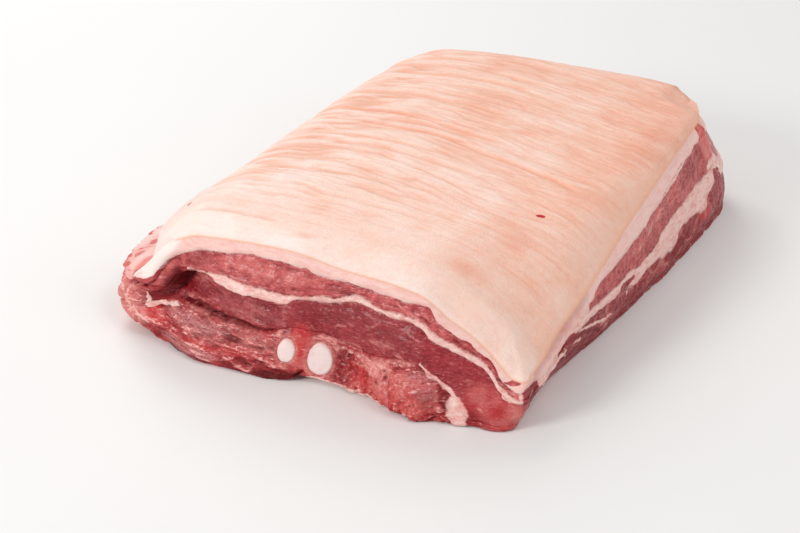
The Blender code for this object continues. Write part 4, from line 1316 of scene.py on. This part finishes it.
class UnderLean(Layer):
    """The lowest meat: a fibrous flap, red tissue at the ribs and a grainy lump."""

    def own_relief(self, wall: Wall) -> Array:
        """Folds on the flap, grains and a scalloped foot on the lump, sockets at the ribs."""
        far, high = wall.flat[..., 0], wall.flat[..., 1]
        gap = wall.gap(0.0)
        flap = between(gap, 0.06, 0.46, 0.04)
        lump = between(gap, 0.58, 0.86, 0.04)
        folds = Relief.fibres(wall, 11, 24.0, 2.7, 0.05)
        threads = Relief.fibres(wall, 12, 7.0, 1.15, 0.05)
        first, second, size = Grain(13).cells(pair(far / 3.4, high / 2.8))
        knobs = Grain(15).layers(wall.flat / 7.0, 2)
        notch = near(gap, 0.49, 0.016) * ease((6.0 - high) / 3.5)
        seed = ease((second - first) / 0.6)
        beads = Grain(18).layers(wall.flat / 1.5, 2)
        wall.detail = (flap * (0.9 * folds + 1.1 * threads)
                       + lump * (0.4 * seed - 0.1 + 0.25 * knobs + 0.7 * beads))
        plain = (flap * (0.9 * folds + 0.55 * threads - 0.3 * np.abs(threads))
                 + lump * ((0.8 * seed - 0.3) * (0.4 + size) + 1.0 * knobs + 0.4 * beads)
                 - 3.0 * notch)
        sunk = plain * 0
        front = between(gap, 0.3, 0.7, 0.02)
        for rib in RIBS:
            away = rib.away(wall)
            calm = 1 - front * ease((2.0 - away) / 2.0)
            plain, wall.detail = plain * calm, wall.detail * calm
            sunk = sunk - front * (0.3 * near(away, 0.0, 1.0) + 0.6 * ease((0.3 - away) / 0.8))
        return plain + sunk


class InnerLean(Layer):
    """The dark main muscle, with a hollow under the curled left end."""

    def own_relief(self, wall: Wall) -> Array:
        """Long shallow folds with fine threads, stronger towards the left end."""
        gap = wall.gap(0.0)
        left = between(gap, 0.07, 0.42, 0.1)
        folds = Relief.fibres(wall, 21, 15.0, 3.6, 0.06)
        threads = Relief.fibres(wall, 22, 5.0, 1.3, 0.06)
        wall.detail = (0.22 + 0.45 * left) * (folds + threads)
        return (0.2 + 0.45 * left) * folds + (0.13 + 0.14 * left) * threads


class SeamFat(Layer):
    """The fat seam between the two main muscles."""

    def own_relief(self, wall: Wall) -> Array:
        """Soft small lumps, standing a little proud."""
        lumps = Grain(25).layers(wall.flat / 4.0, 3)
        wall.detail = 0.5 * lumps
        return 0.35 + 0.4 * lumps


class OuterLean(Layer):
    """The lean band under the back fat."""

    def own_relief(self, wall: Wall) -> Array:
        """Fine threads along the band."""
        threads = Relief.fibres(wall, 27, 5.0, 1.4, 0.0)
        dimples = Grain(28).layers(wall.flat / 3.2, 2)
        wall.detail = 0.5 * (threads + dimples)
        return 0.2 * threads + 0.18 * dimples


@dataclass(frozen=True)
class Wrinkles:
    """The folds, creases and fine lines that run across the skin."""

    main: tuple[tuple[float, float, tuple[tuple[float, float], ...]], ...] = (
        (0.8, 1.5, ((-60.5, 22.5), (-38, 25.6), (-23, 24.4), (-10.5, 21.3), (14.5, 15.6))),
        (0.7, 1.5, ((-65.5, 6.3), (-48, 10.6), (-28, 11.5), (-10.5, 11.3), (2, 8), (14.5, 1.9),
                    (33, -3.1), (49.5, -8), (62, -13.8))),
        (0.4, 1.6, ((-60.5, -68), (-50, -65), (-35, -63), (-23, -64.4))),
        (0.5, 1.8, ((-60, -92), (-45, -90), (-28, -90))),
        (0.25, 1.2, ((21, -55.6), (39, -57), (74, -59))),
        (0.25, 1.2, ((22, -71), (39, -74), (74, -76))),
    )

    def line(self, x: Array, y: Array) -> Array:
        """How far along the slab the wrinkle through (x, y) crosses its middle.

        The wrinkles arch: they climb from the left edge to x = -30, then fall
        towards the right, and are nearly straight at the front.
        """
        climb = -8.0 * ease((-30.0 - x) / 45.0)
        fall = -26.0 * ease((x + 30.0) / 110.0)
        sway = 2.2 * Grain(41).wave(pair(x / 55.0, y / 40.0))
        return y - (climb + fall) * (0.2 + 0.8 * ease((y + 100.0) / 80.0)) + sway

    def rise(self, x: Array, y: Array) -> tuple[Array, Array]:
        """Height of the wrinkles and how deep in them a point lies.

        Broad folds, middle creases and fine lines are made alike: the size of
        a noise stretched along the wrinkles is zero along thin lines, which
        become the creases between rounded ridges.

        Args:
            x: places across the slab.
            y: places along the slab.

        Returns:
            Height in millimetres; depth from 0 on the top of a fold to 1 in a crease.
        """
        line = self.line(x, y)
        left = ease((25.0 - x) / 75.0)
        back = 0.25 + 0.75 * ease((y + 95.0) / 60.0)
        line = line + 1.1 * Grain(46).layers(pair(x / 16.0, y / 11.0), 2)
        broad = np.abs(Grain(42).wave(pair(x / 60.0, line / 10.0)))
        middle = np.abs(Grain(43).wave(pair(x / 28.0, line / 4.6)))
        fine = np.abs(Grain(44).wave(pair(x / 22.0, line / 2.9)))
        hair = Grain(45).wave(pair(x / 20.0, line / 1.5))
        fold = np.minimum(broad / 0.45, 1.0) ** 0.8
        crease = 1.0 - np.minimum(middle / 0.26, 1.0)
        thin = 1.0 - np.minimum(fine / 0.3, 1.0)
        height = back * ((0.3 + 0.75 * left) * (fold - 0.6) - (0.22 + 0.2 * left) * crease
                         - 0.11 * thin + 0.04 * hair)
        deep = back * ((0.35 + 0.4 * left) * (0.75 - fold) + 0.45 * crease * (0.6 + 0.4 * left)
                       + 0.2 * thin)
        for depth, reach, points in self.main:
            along = np.array(points, float)
            off = y - np.interp(x, along[:, 0], along[:, 1])
            ends = between(x, along[0, 0], along[-1, 0], 12.0)
            height = height + ends * depth * (0.5 * near(off, reach * 1.8, reach * 2.2)
                                              - near(off, 0.0, reach * 1.3))
            deep = deep + ends * depth * near(off, 0.0, reach)
        return height, np.clip(0.5 + 0.75 * (deep - 0.18), 0, 1)


@dataclass
class RindAndFat:
    """The wrinkled skin with the fat under it, cut through on all four sides."""

    name: str = "rind_and_fat"
    node: str = "rind_fat"
    slot: str = "rind"
    across: int = 160
    along: int = 470
    wall_rows: int = 13
    inner: tuple[float, ...] = (0.99, 0.9, 0.6)
    wrinkles: Wrinkles = Wrinkles()
    finish: SkinFinish = SkinFinish()
    curls: tuple[tuple[float, Stroke], ...] = (
        (2.8, Stroke(FAT, 8, ((0.058, 20.5), (0.062, 27), (0.073, 32), (0.1, 37)), 1.0, 7.0, 0.9)),
        (2.2, Stroke(FAT, 3.6, ((0.026, 23.0), (0.034, 24.0)), 1.0, 3.4, 0.9)),
        (-2.6, Stroke(FAT, 2, ((-0.005, 20.5), (0.008, 23), (0.022, 26.2), (0.04, 30)), 1.0, 3.0, 0.8)),
        (1.8, Stroke(FAT, 3, ((-0.07, 22.4), (-0.095, 23.2), (-0.125, 24)), 1.0, 2.5, 0.8)),
        (2.6, Stroke(FAT, 4, ((-0.13, 21.6), (-0.16, 22.4)), 1.0, 4.0, 0.9)),
        (-1.6, Stroke(FAT, 1.2, ((-0.06, 20.4), (-0.09, 20.8), (-0.115, 21.6)), 1.0, 1.6, 0.8)),
    )
    bare: Table = ((0.0, 5.5), (0.06, 4.5), (0.09, 2.0), (0.12, 0.0), (2.0, 0.0), (3.65, 0.0),
                   (3.75, 4.0), (3.815, 9.0), (3.9, 10.0), (3.945, 9.0), (3.975, 7.0))
    patches: tuple = ((-72.5, -81.5, 3.2, 3.2), (-69.5, -77.5, 2.6, 3), (-68.5, -96, 3, 2.2),
                      (-72, -69, 1.8, 4))
    blushes: tuple = ((-37, 14, 5, 3), (-3, 77, 6, 3.5), (-19, -74, 9, 7), (-12, -96, 7, 4),
                      (49, -87, 12, 8), (57, -60, 10, 9), (-30, -20, 7, 4), (20, 30, 9, 4),
                      (68, 50, 8, 12))

    def columns(self) -> Array:
        """Places of the wall's columns, walking anticlockwise from the front left."""
        counts = (self.across, self.along, self.across, self.along)
        return np.concatenate([side + np.arange(count) / count for side, count in enumerate(counts)])

    def sheet(self, rim: Array) -> Array:
        """The skin's grid: a Coons patch over the four sides of its rim.

        Each point is the blend of the front and back sides plus the blend of
        the left and right sides, less the blend of the four corners.
        """
        n, m = self.across, self.along
        loop = np.concatenate([rim, rim[:1]])[:, :2]
        front, right = loop[:n + 1], loop[n:n + m + 1]
        back, left = loop[n + m:2 * n + m + 1][::-1], loop[2 * n + m:][::-1]
        s = np.linspace(0, 1, n + 1)[None, :, None]
        t = np.linspace(0, 1, m + 1)[:, None, None]
        ruled = front[None] * (1 - t) + back[None] * t + left[:, None] * (1 - s) + right[:, None] * s
        corners = ((1 - s) * (1 - t) * front[0] + s * (1 - t) * front[-1]
                   + (1 - s) * t * back[0] + s * t * back[-1])
        return ruled - corners

    def rim_reach(self, flat: Array, rim: Array) -> tuple[Array, Array]:
        """Distance from each skin point to the rim, and the rim point nearest to it."""
        points = flat.reshape(-1, 2)
        best = np.full(len(points), 1e9)
        which = np.zeros(len(points), int)
        for start in range(0, len(points), 8000):
            part = points[start:start + 8000]
            gap = (part[:, None, 0] - rim[None, :, 0]) ** 2 + (part[:, None, 1] - rim[None, :, 1]) ** 2
            which[start:start + 8000] = gap.argmin(axis=1)
            best[start:start + 8000] = np.sqrt(gap.min(axis=1))
        return best.reshape(flat.shape[:2]), which.reshape(flat.shape[:2])

    def wall(self) -> Wall:
        """The cut fat: swollen most at the fold on the left, rounded under its rim."""
        place = self.columns()
        up = np.linspace(0.0, 1.0, self.wall_rows)
        low, high = FORM.edge_line(4, place), FORM.edge_line(5, place)
        points = low[None] * (1 - up)[:, None, None] + high[None] * up[:, None, None]
        wall = Wall(place, up, points, FORM.walked(place))
        rise = up[:, None]
        swell = np.sin(np.pi * rise) * around(FORM.swells[4], place)
        still = np.zeros((2,) + wall.height.shape)
        curl = sum(out * stroke.cover(wall, still) for out, stroke in self.curls)
        fine = 0.25 * Grain(29).layers(wall.flat / 4.5, 2) * ease(rise / 0.15)
        wall.marks = Tissue.paint(wall, 4)
        wall.push(swell + Relief.common(wall) * (1 - rise ** 3)
                  + (curl + fine + Relief.streaks(wall.marks)) * ease((1 - rise) / 0.3))
        return wall

    def build(self) -> None:
        """Makes the closed mesh of skin and fat and dresses it."""
        wall = self.wall()
        rim = wall.points[-1]
        flat = self.sheet(rim)
        x, y = flat[..., 0], flat[..., 1]
        gap, which = self.rim_reach(flat, rim[:, :2])
        smooth = FORM.skin_height(x, y)
        trim = (rim[:, 2] - FORM.skin_height(rim[:, 0], rim[:, 1]))[which]
        rise, deep = self.wrinkles.rise(x, y)
        fade = ease((gap - 0.3) / 4.0) * (0.3 + 0.7 * ease(gap / 14.0))
        lip = 0.5 * ease(gap / 2.2) - 0.5 * ease(gap / 9.0)
        height = smooth + trim * (1 - ease(gap / FORM.trim_reach)) + rise * fade + lip
        deep = 0.5 + (deep - 0.5) * fade
        sheet = np.concatenate([flat, height[..., None]], axis=-1)
        self.assemble(wall, sheet, gap, deep, around(self.bare, wall.place[which]))

    def assemble(self, wall: Wall, sheet: Array, gap: Array, deep: Array, bare: Array) -> None:
        """Joins the underside, the walls and the skin sheet into one closed mesh.

        Args:
            wall: the cut fat all round.
            sheet: the skin's grid of points.
            gap: distance of each grid point from the rim.
            deep: depth of each grid point in the wrinkles.
            bare: width of the strip beside the rim, at each grid point, with no skin on it.
        """
        n, m, place = self.across, self.along, wall.place
        count = len(place)
        below = [FORM.ring(4, place, np.full(count, reach)) for reach in self.inner[::-1]]
        loops = np.stack(below + list(wall.points))
        top = (len(loops) - 1) * count
        index = np.full((m + 1, n + 1), -1)
        index[0, :] = top + np.arange(n + 1)
        index[:, n] = top + n + np.arange(m + 1)
        index[m, ::-1] = top + n + m + np.arange(n + 1)
        index[::-1, 0] = top + (2 * n + m + np.arange(m + 1)) % count
        inside = index < 0
        index[inside] = len(loops) * count + np.arange(inside.sum())
        pole = loops[0].mean(axis=0)
        points = np.concatenate([loops.reshape(-1, 3), sheet[inside], pole[None]])
        ring_quads, columns = Mesher.ring_quads(len(loops), count)
        sheet_quads = np.stack([index[:-1, :-1], index[:-1, 1:], index[1:, 1:], index[1:, :-1]],
                               axis=-1).reshape(-1, 4)
        ids = np.arange(count)
        tris = np.stack([np.full(count, len(points) - 1), (ids + 1) % count, ids], axis=1)
        far = wall.walked
        onward = far + np.mod(np.roll(far, -1) - far, FORM.walked(np.array([WALK_START - 1e-6]))[0])
        uv_u = np.stack([far[columns[:, 0]], onward[columns[:, 0]],
                         onward[columns[:, 0]], far[columns[:, 0]]], axis=1)
        uv_ring = np.stack([uv_u, points[ring_quads][..., 2]], axis=-1)
        flow = pair(points[:, 0], self.wrinkles.line(points[:, 0], points[:, 1])) + 1000.0
        uv = np.concatenate([uv_ring.reshape(-1, 2), flow[sheet_quads].reshape(-1, 2),
                             np.zeros((count * 3, 2))]) * 0.001
        marks = {**self.cut_marks(wall, len(below), points[loops.shape[0] * count:]),
                 **self.skin_marks(points, wall.place, len(loops), gap[inside], deep[inside],
                                   bare[inside])}
        piece = Mesher.piece(self.name, points, np.concatenate([ring_quads, sheet_quads]), tris,
                             uv, marks)
        rides(piece, self.node, self.finish.make())

    def cut_marks(self, wall: Wall, below: int, skin: Array) -> dict[str, Array]:
        """The tissue marks of the wall, carried on to the underside, and meat patches above."""
        meat = sum(spot(skin[:, 0], skin[:, 1], (a, b), (c, d)) for a, b, c, d in self.patches)
        above = {"fat": 1.0 - 1.6 * np.clip(meat, 0, 0.6), "bright": meat,
                 "cream": 0.55 + 0 * meat, "pale": 0.6 * meat, "crest": 0.5 + 0 * meat}
        return {key: np.concatenate([np.tile(values[0], (below, 1)).ravel(), values.ravel(),
                                     above.get(key, 0 * meat)])
                for key, values in wall.marks.items()}

    def skin_marks(self, points: Array, place: Array, rows: int, gap: Array, deep: Array,
                   bare: Array) -> dict[str, Array]:
        """The skin's marks: skin, warm, valley, blush, freckle, nick and rim.

        Args:
            points: all points of the piece, the rings first.
            place: places of the points in each ring.
            rows: number of rings.
            gap: distance of each inner skin point from the rim.
            deep: its depth in the wrinkles.
            bare: width of the strip beside the rim there with no skin on it.

        Returns:
            Named numbers for every point.
        """
        up = np.clip((np.arange(rows) - rows + self.wall_rows) / (self.wall_rows - 1), 0, 1)
        edge = (up > 0.999)[:, None] * (1 - ease(around(self.bare, place) / 1.5))[None]
        x, y = points[:, 0], points[:, 1]

        def joined(on_wall: Array, on_skin: Array) -> Array:
            """Ring values, then skin values, then the pole."""
            return np.concatenate([np.broadcast_to(on_wall, edge.shape).ravel(), on_skin, [0.0]])

        # Tone of the skin, peachier to the right and back and blotched at random; the paler left and
        # front and the lighter strip along the right edge are partly the skin's own tone and partly
        # painted light.
        warm = (0.22 + 0.18 * ease((x + 75) / 70) + 0.28 * ease((x - 20) / 60)
                + 0.16 * ease((y + 70) / 160) - 0.35 * ease((-85 - y) / 25)
                + 0.15 * spot(x, y, (72, 50), (14, 40)) + 0.22 * spot(x, y, (-8, 50), (30, 26))
                + 0.08 * spot(x, y, (76, -100), (30, 30)) - 0.12 * ease((x - 55) / 25)
                + 0.12 * Grain(47).layers(pair(x / 26.0, y / 18.0), 2))
        blush = sum(0.5 * spot(x, y, (a, b), (c, d)) for a, b, c, d in self.blushes)
        slanted = x - 57 - 0.6 * (y + 38.5)
        nick = near(np.hypot(slanted / 3.4, (y + 38.5) / 2.1), 0.0, 1.0)
        near_line = np.clip(1 - gap / 0.8, 0, 1) * (1 - ease(bare / 1.5))
        return {"skin": joined(0.5 * edge, ease((gap - bare) / (1.2 + bare * 0.25) + 1.0)),
                "rim": joined(edge, near_line),
                "valley": joined(edge * 0 + 0.5, deep), "warm": warm, "blush": blush,
                "freckle": spot(x, y, (70, 50), (14, 24)), "nick": nick}


@dataclass
class Cartilage:
    """The oval cut end of a rib cartilage, standing a little out of the meat."""

    name: str
    node: str
    centre: tuple[float, float]
    size: tuple[float, float]
    depth: float = 26.0
    proud: float = 0.8
    edge: float = 1.1
    finish: CartilageFinish = CartilageFinish()

    def away(self, wall: Wall) -> Array:
        """Distance of the wall's points from the oval's edge, below 0 inside it."""
        x, z = wall.points[..., 0] - self.centre[0], wall.height - self.centre[1]
        return (np.hypot(x / self.size[0], z / self.size[1]) - 0.5) * self.size[0]

    def front(self, wall: Wall) -> Array:
        """The plane of the meat round the cartilage: y, and its slopes along x and height."""
        x, z = wall.points[..., 0] - self.centre[0], wall.height - self.centre[1]
        here = (self.away(wall) < 0.1 * self.size[0]) & (wall.points[..., 1] < 0)
        terms = np.column_stack([np.ones(here.sum()), x[here], z[here]])
        return np.linalg.lstsq(terms, wall.points[..., 1][here], rcond=None)[0]

    def build(self, wall: Wall) -> None:
        """An oval rod with nearly flat ends, their edges rounded by a quarter turn.

        Args:
            wall: the meat's wall that the cartilage is set in.
        """
        sides = 72
        angle = np.arange(sides) * 2 * np.pi / sides
        turn = np.linspace(0.0, np.pi / 2, 9)
        face = np.linspace(0.06, 0.94, 8) * (1 - 2 * self.edge / self.size[0])
        cap = np.concatenate([face, 1 - 2 * self.edge / self.size[0] * (1 - np.sin(turn))])
        dip = np.concatenate([0.25 * (face / face[-1]) ** 2, 0.27 + self.edge * (1 - np.cos(turn))])
        radius = np.concatenate([cap, np.ones(8), cap[::-1]])
        deep = np.concatenate([dip, np.linspace(3.0, self.depth - 3.0, 8), self.depth - dip[::-1]])
        egg = 1.0 - 0.09 * np.sin(angle)[None, :]
        x = self.centre[0] + self.size[0] / 2 * radius[:, None] * np.cos(angle)[None, :] * egg
        z = self.centre[1] + self.size[1] / 2 * radius[:, None] * np.sin(angle)[None, :]
        level, aside, tilt = self.front(wall)
        follow = ease((self.depth - deep) / self.depth)[:, None]
        y = (level - self.proud + deep[:, None]
             + follow * (aside * (x - self.centre[0]) + tilt * (z - self.centre[1])))
        loops = np.stack([x, y, z], axis=-1)
        loops = loops + 0.1 * Grain(71).layers(loops / 3.0, 2)[..., None]
        poles = np.stack([loops[0].mean(axis=0), loops[-1].mean(axis=0)])
        points = np.concatenate([loops.reshape(-1, 3), poles])
        quads, _ = Mesher.ring_quads(len(loops), sides)
        ids = np.arange(sides)
        last = (len(loops) - 1) * sides
        tris = np.concatenate([
            np.stack([np.full(sides, len(points) - 2), ids, (ids + 1) % sides], axis=1),
            np.stack([np.full(sides, len(points) - 1), last + (ids + 1) % sides, last + ids],
                     axis=1)])
        corners = np.concatenate([quads[:, ::-1].ravel(), tris.ravel()])
        uv = points[corners][:, [0, 2]] * 0.001
        rim = np.concatenate([np.repeat(ease((radius - 0.75) / 0.25), sides), [0, 0]])
        piece = Mesher.piece(self.name, points, quads[:, ::-1], tris, uv, {"rim": rim})
        rides(piece, self.node, self.finish.make())


RIBS = (Cartilage("small_cartilage", "cartilage_small", (-7.9, 11.2), (7.1, 8.9)),
        Cartilage("large_cartilage", "cartilage_large", (4.7, 9.4), (10.1, 12.6)))


class PorkBelly:
    """The whole slab."""

    def layers(self) -> list[Layer]:
        """The four layers under the skin, lowest first."""
        dark = Flesh(deep=srgb(134, 28, 36), middle=srgb(172, 60, 66), bright=srgb(198, 54, 58),
                     fibre=(480.0, 1100.0), dashes=0.3, glints=0.3)
        rosy = Flesh(deep=srgb(164, 58, 62), middle=srgb(208, 98, 98), bright=srgb(222, 106, 100),
                     dashes=0.4, glints=0.25)
        return [
            UnderLean("lowest_lean", "under_lean", "lean", 0, 36, MeatFinish("lowest_lean"),
                      fullness=0.7),
            InnerLean("inner_lean_layer", "inner_lean", "lean", 1, 28,
                      MeatFinish("inner_lean", dark),
                      inset_low=((0.0, 0), (0.05, 0), (0.1, 1.2), (0.3, 1.0), (0.42, 0.3),
                                 (0.5, 0), (2.0, 0)),
                      inset_high=((0.0, 0), (0.05, 1), (0.09, 7), (0.15, 6), (0.3, 1.5),
                                  (0.4, 0), (2.0, 0))),
            SeamFat("seam_fat_layer", "seam_fat", "fat", 2, 10, MeatFinish("seam_fat", gloss=0.36)),
            OuterLean("outer_lean_layer", "outer_lean", "lean", 3, 22,
                      MeatFinish("outer_lean", rosy)),
        ]

    def build(self) -> None:
        """Builds every piece of the slab."""
        walls = [layer.build() for layer in self.layers()]
        RindAndFat().build()
        for rib in RIBS:
            rib.build(walls[0])


@dataclass(frozen=True)
class Studio:
    """Pale floor, soft lights and the camera."""

    eye: tuple[float, float, float] = (0.25868, -0.53734, 0.30377)
    around: float = 27.570
    above: float = 27.627
    lens: float = 70.425

    def floor(self) -> None:
        """A wide pale floor, gently uneven in tone."""
        size = 4.0
        mesh = bpy.data.meshes.new("floor")
        mesh.from_pydata([(-size, -size, -0.0002), (size, -size, -0.0002), (size, size, -0.0002),
                          (-size, size, -0.0002)], [], [(0, 1, 2, 3)])
        tree = Tree("pale_floor")
        cloud = tree.noise(tree.coords("Object"), 3.0, 3.0, 0.5)
        tint = tree.mix(cloud, srgb(244, 243, 241), srgb(238, 237, 235))
        mesh.materials.append(tree.shade(tint, 0.6, tree.bump(cloud, 0.02, 0.001), {}))
        floor = bpy.data.objects.new("floor", mesh)
        bpy.context.scene.collection.objects.link(floor)

    def light(self, name: str, place: tuple[float, float, float], power: float, size: float,
              tint: tuple[float, float, float]) -> None:
        """A square soft light facing the slab."""
        data = bpy.data.lights.new(name, 'AREA')
        data.energy, data.size, data.color = power, size, tint
        lamp = bpy.data.objects.new(name, data)
        lamp.location = place
        aim = np.array([0.0, 0.0, 0.02]) - np.array(place)
        flat = math.hypot(aim[0], aim[1])
        lamp.rotation_euler = (math.atan2(flat, -aim[2]), 0.0, math.atan2(-aim[0], aim[1]))
        bpy.context.scene.collection.objects.link(lamp)

    def camera(self) -> None:
        """The camera at the slab's front right, looking down on it."""
        data = bpy.data.cameras.new("camera")
        data.lens, data.sensor_width = self.lens, 36.0
        data.clip_start, data.clip_end = 0.01, 20.0
        camera = bpy.data.objects.new("camera", data)
        camera.location = self.eye
        camera.rotation_euler = (math.radians(90 - self.above), 0.0, math.radians(self.around))
        bpy.context.scene.collection.objects.link(camera)
        bpy.context.scene.camera = camera

    def build(self) -> None:
        """Floor, lights, background and camera."""
        self.floor()
        self.camera()
        self.light("key", (-0.8, 0.7, 0.8), 6.8, 0.7, (1.0, 0.985, 0.965))
        self.light("front", (-0.6, -1.1, 0.6), 8.6, 0.4, (1.0, 0.99, 0.98))
        self.light("right", (1.3, 0.0, 0.75), 2.9, 0.7, (1.0, 0.99, 0.98))
        self.light("top", (0.75, 0.0, 1.25), 4.0, 0.6, (1.0, 0.98, 0.96))
        world = bpy.data.worlds.new("studio")
        world.use_nodes = True
        back = world.node_tree.nodes["Background"]
        back.inputs["Color"].default_value = (0.97, 0.98, 1.0, 1.0)
        back.inputs["Strength"].default_value = 0.42
        bpy.context.scene.world = world
        bpy.context.scene.view_settings.view_transform = "Standard"


def main() -> None:
    """Builds the slab and the studio."""
    logging.basicConfig(level=logging.INFO)
    PorkBelly().build()
    Studio().build()
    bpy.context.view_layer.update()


if __name__ == "__main__":
    main()
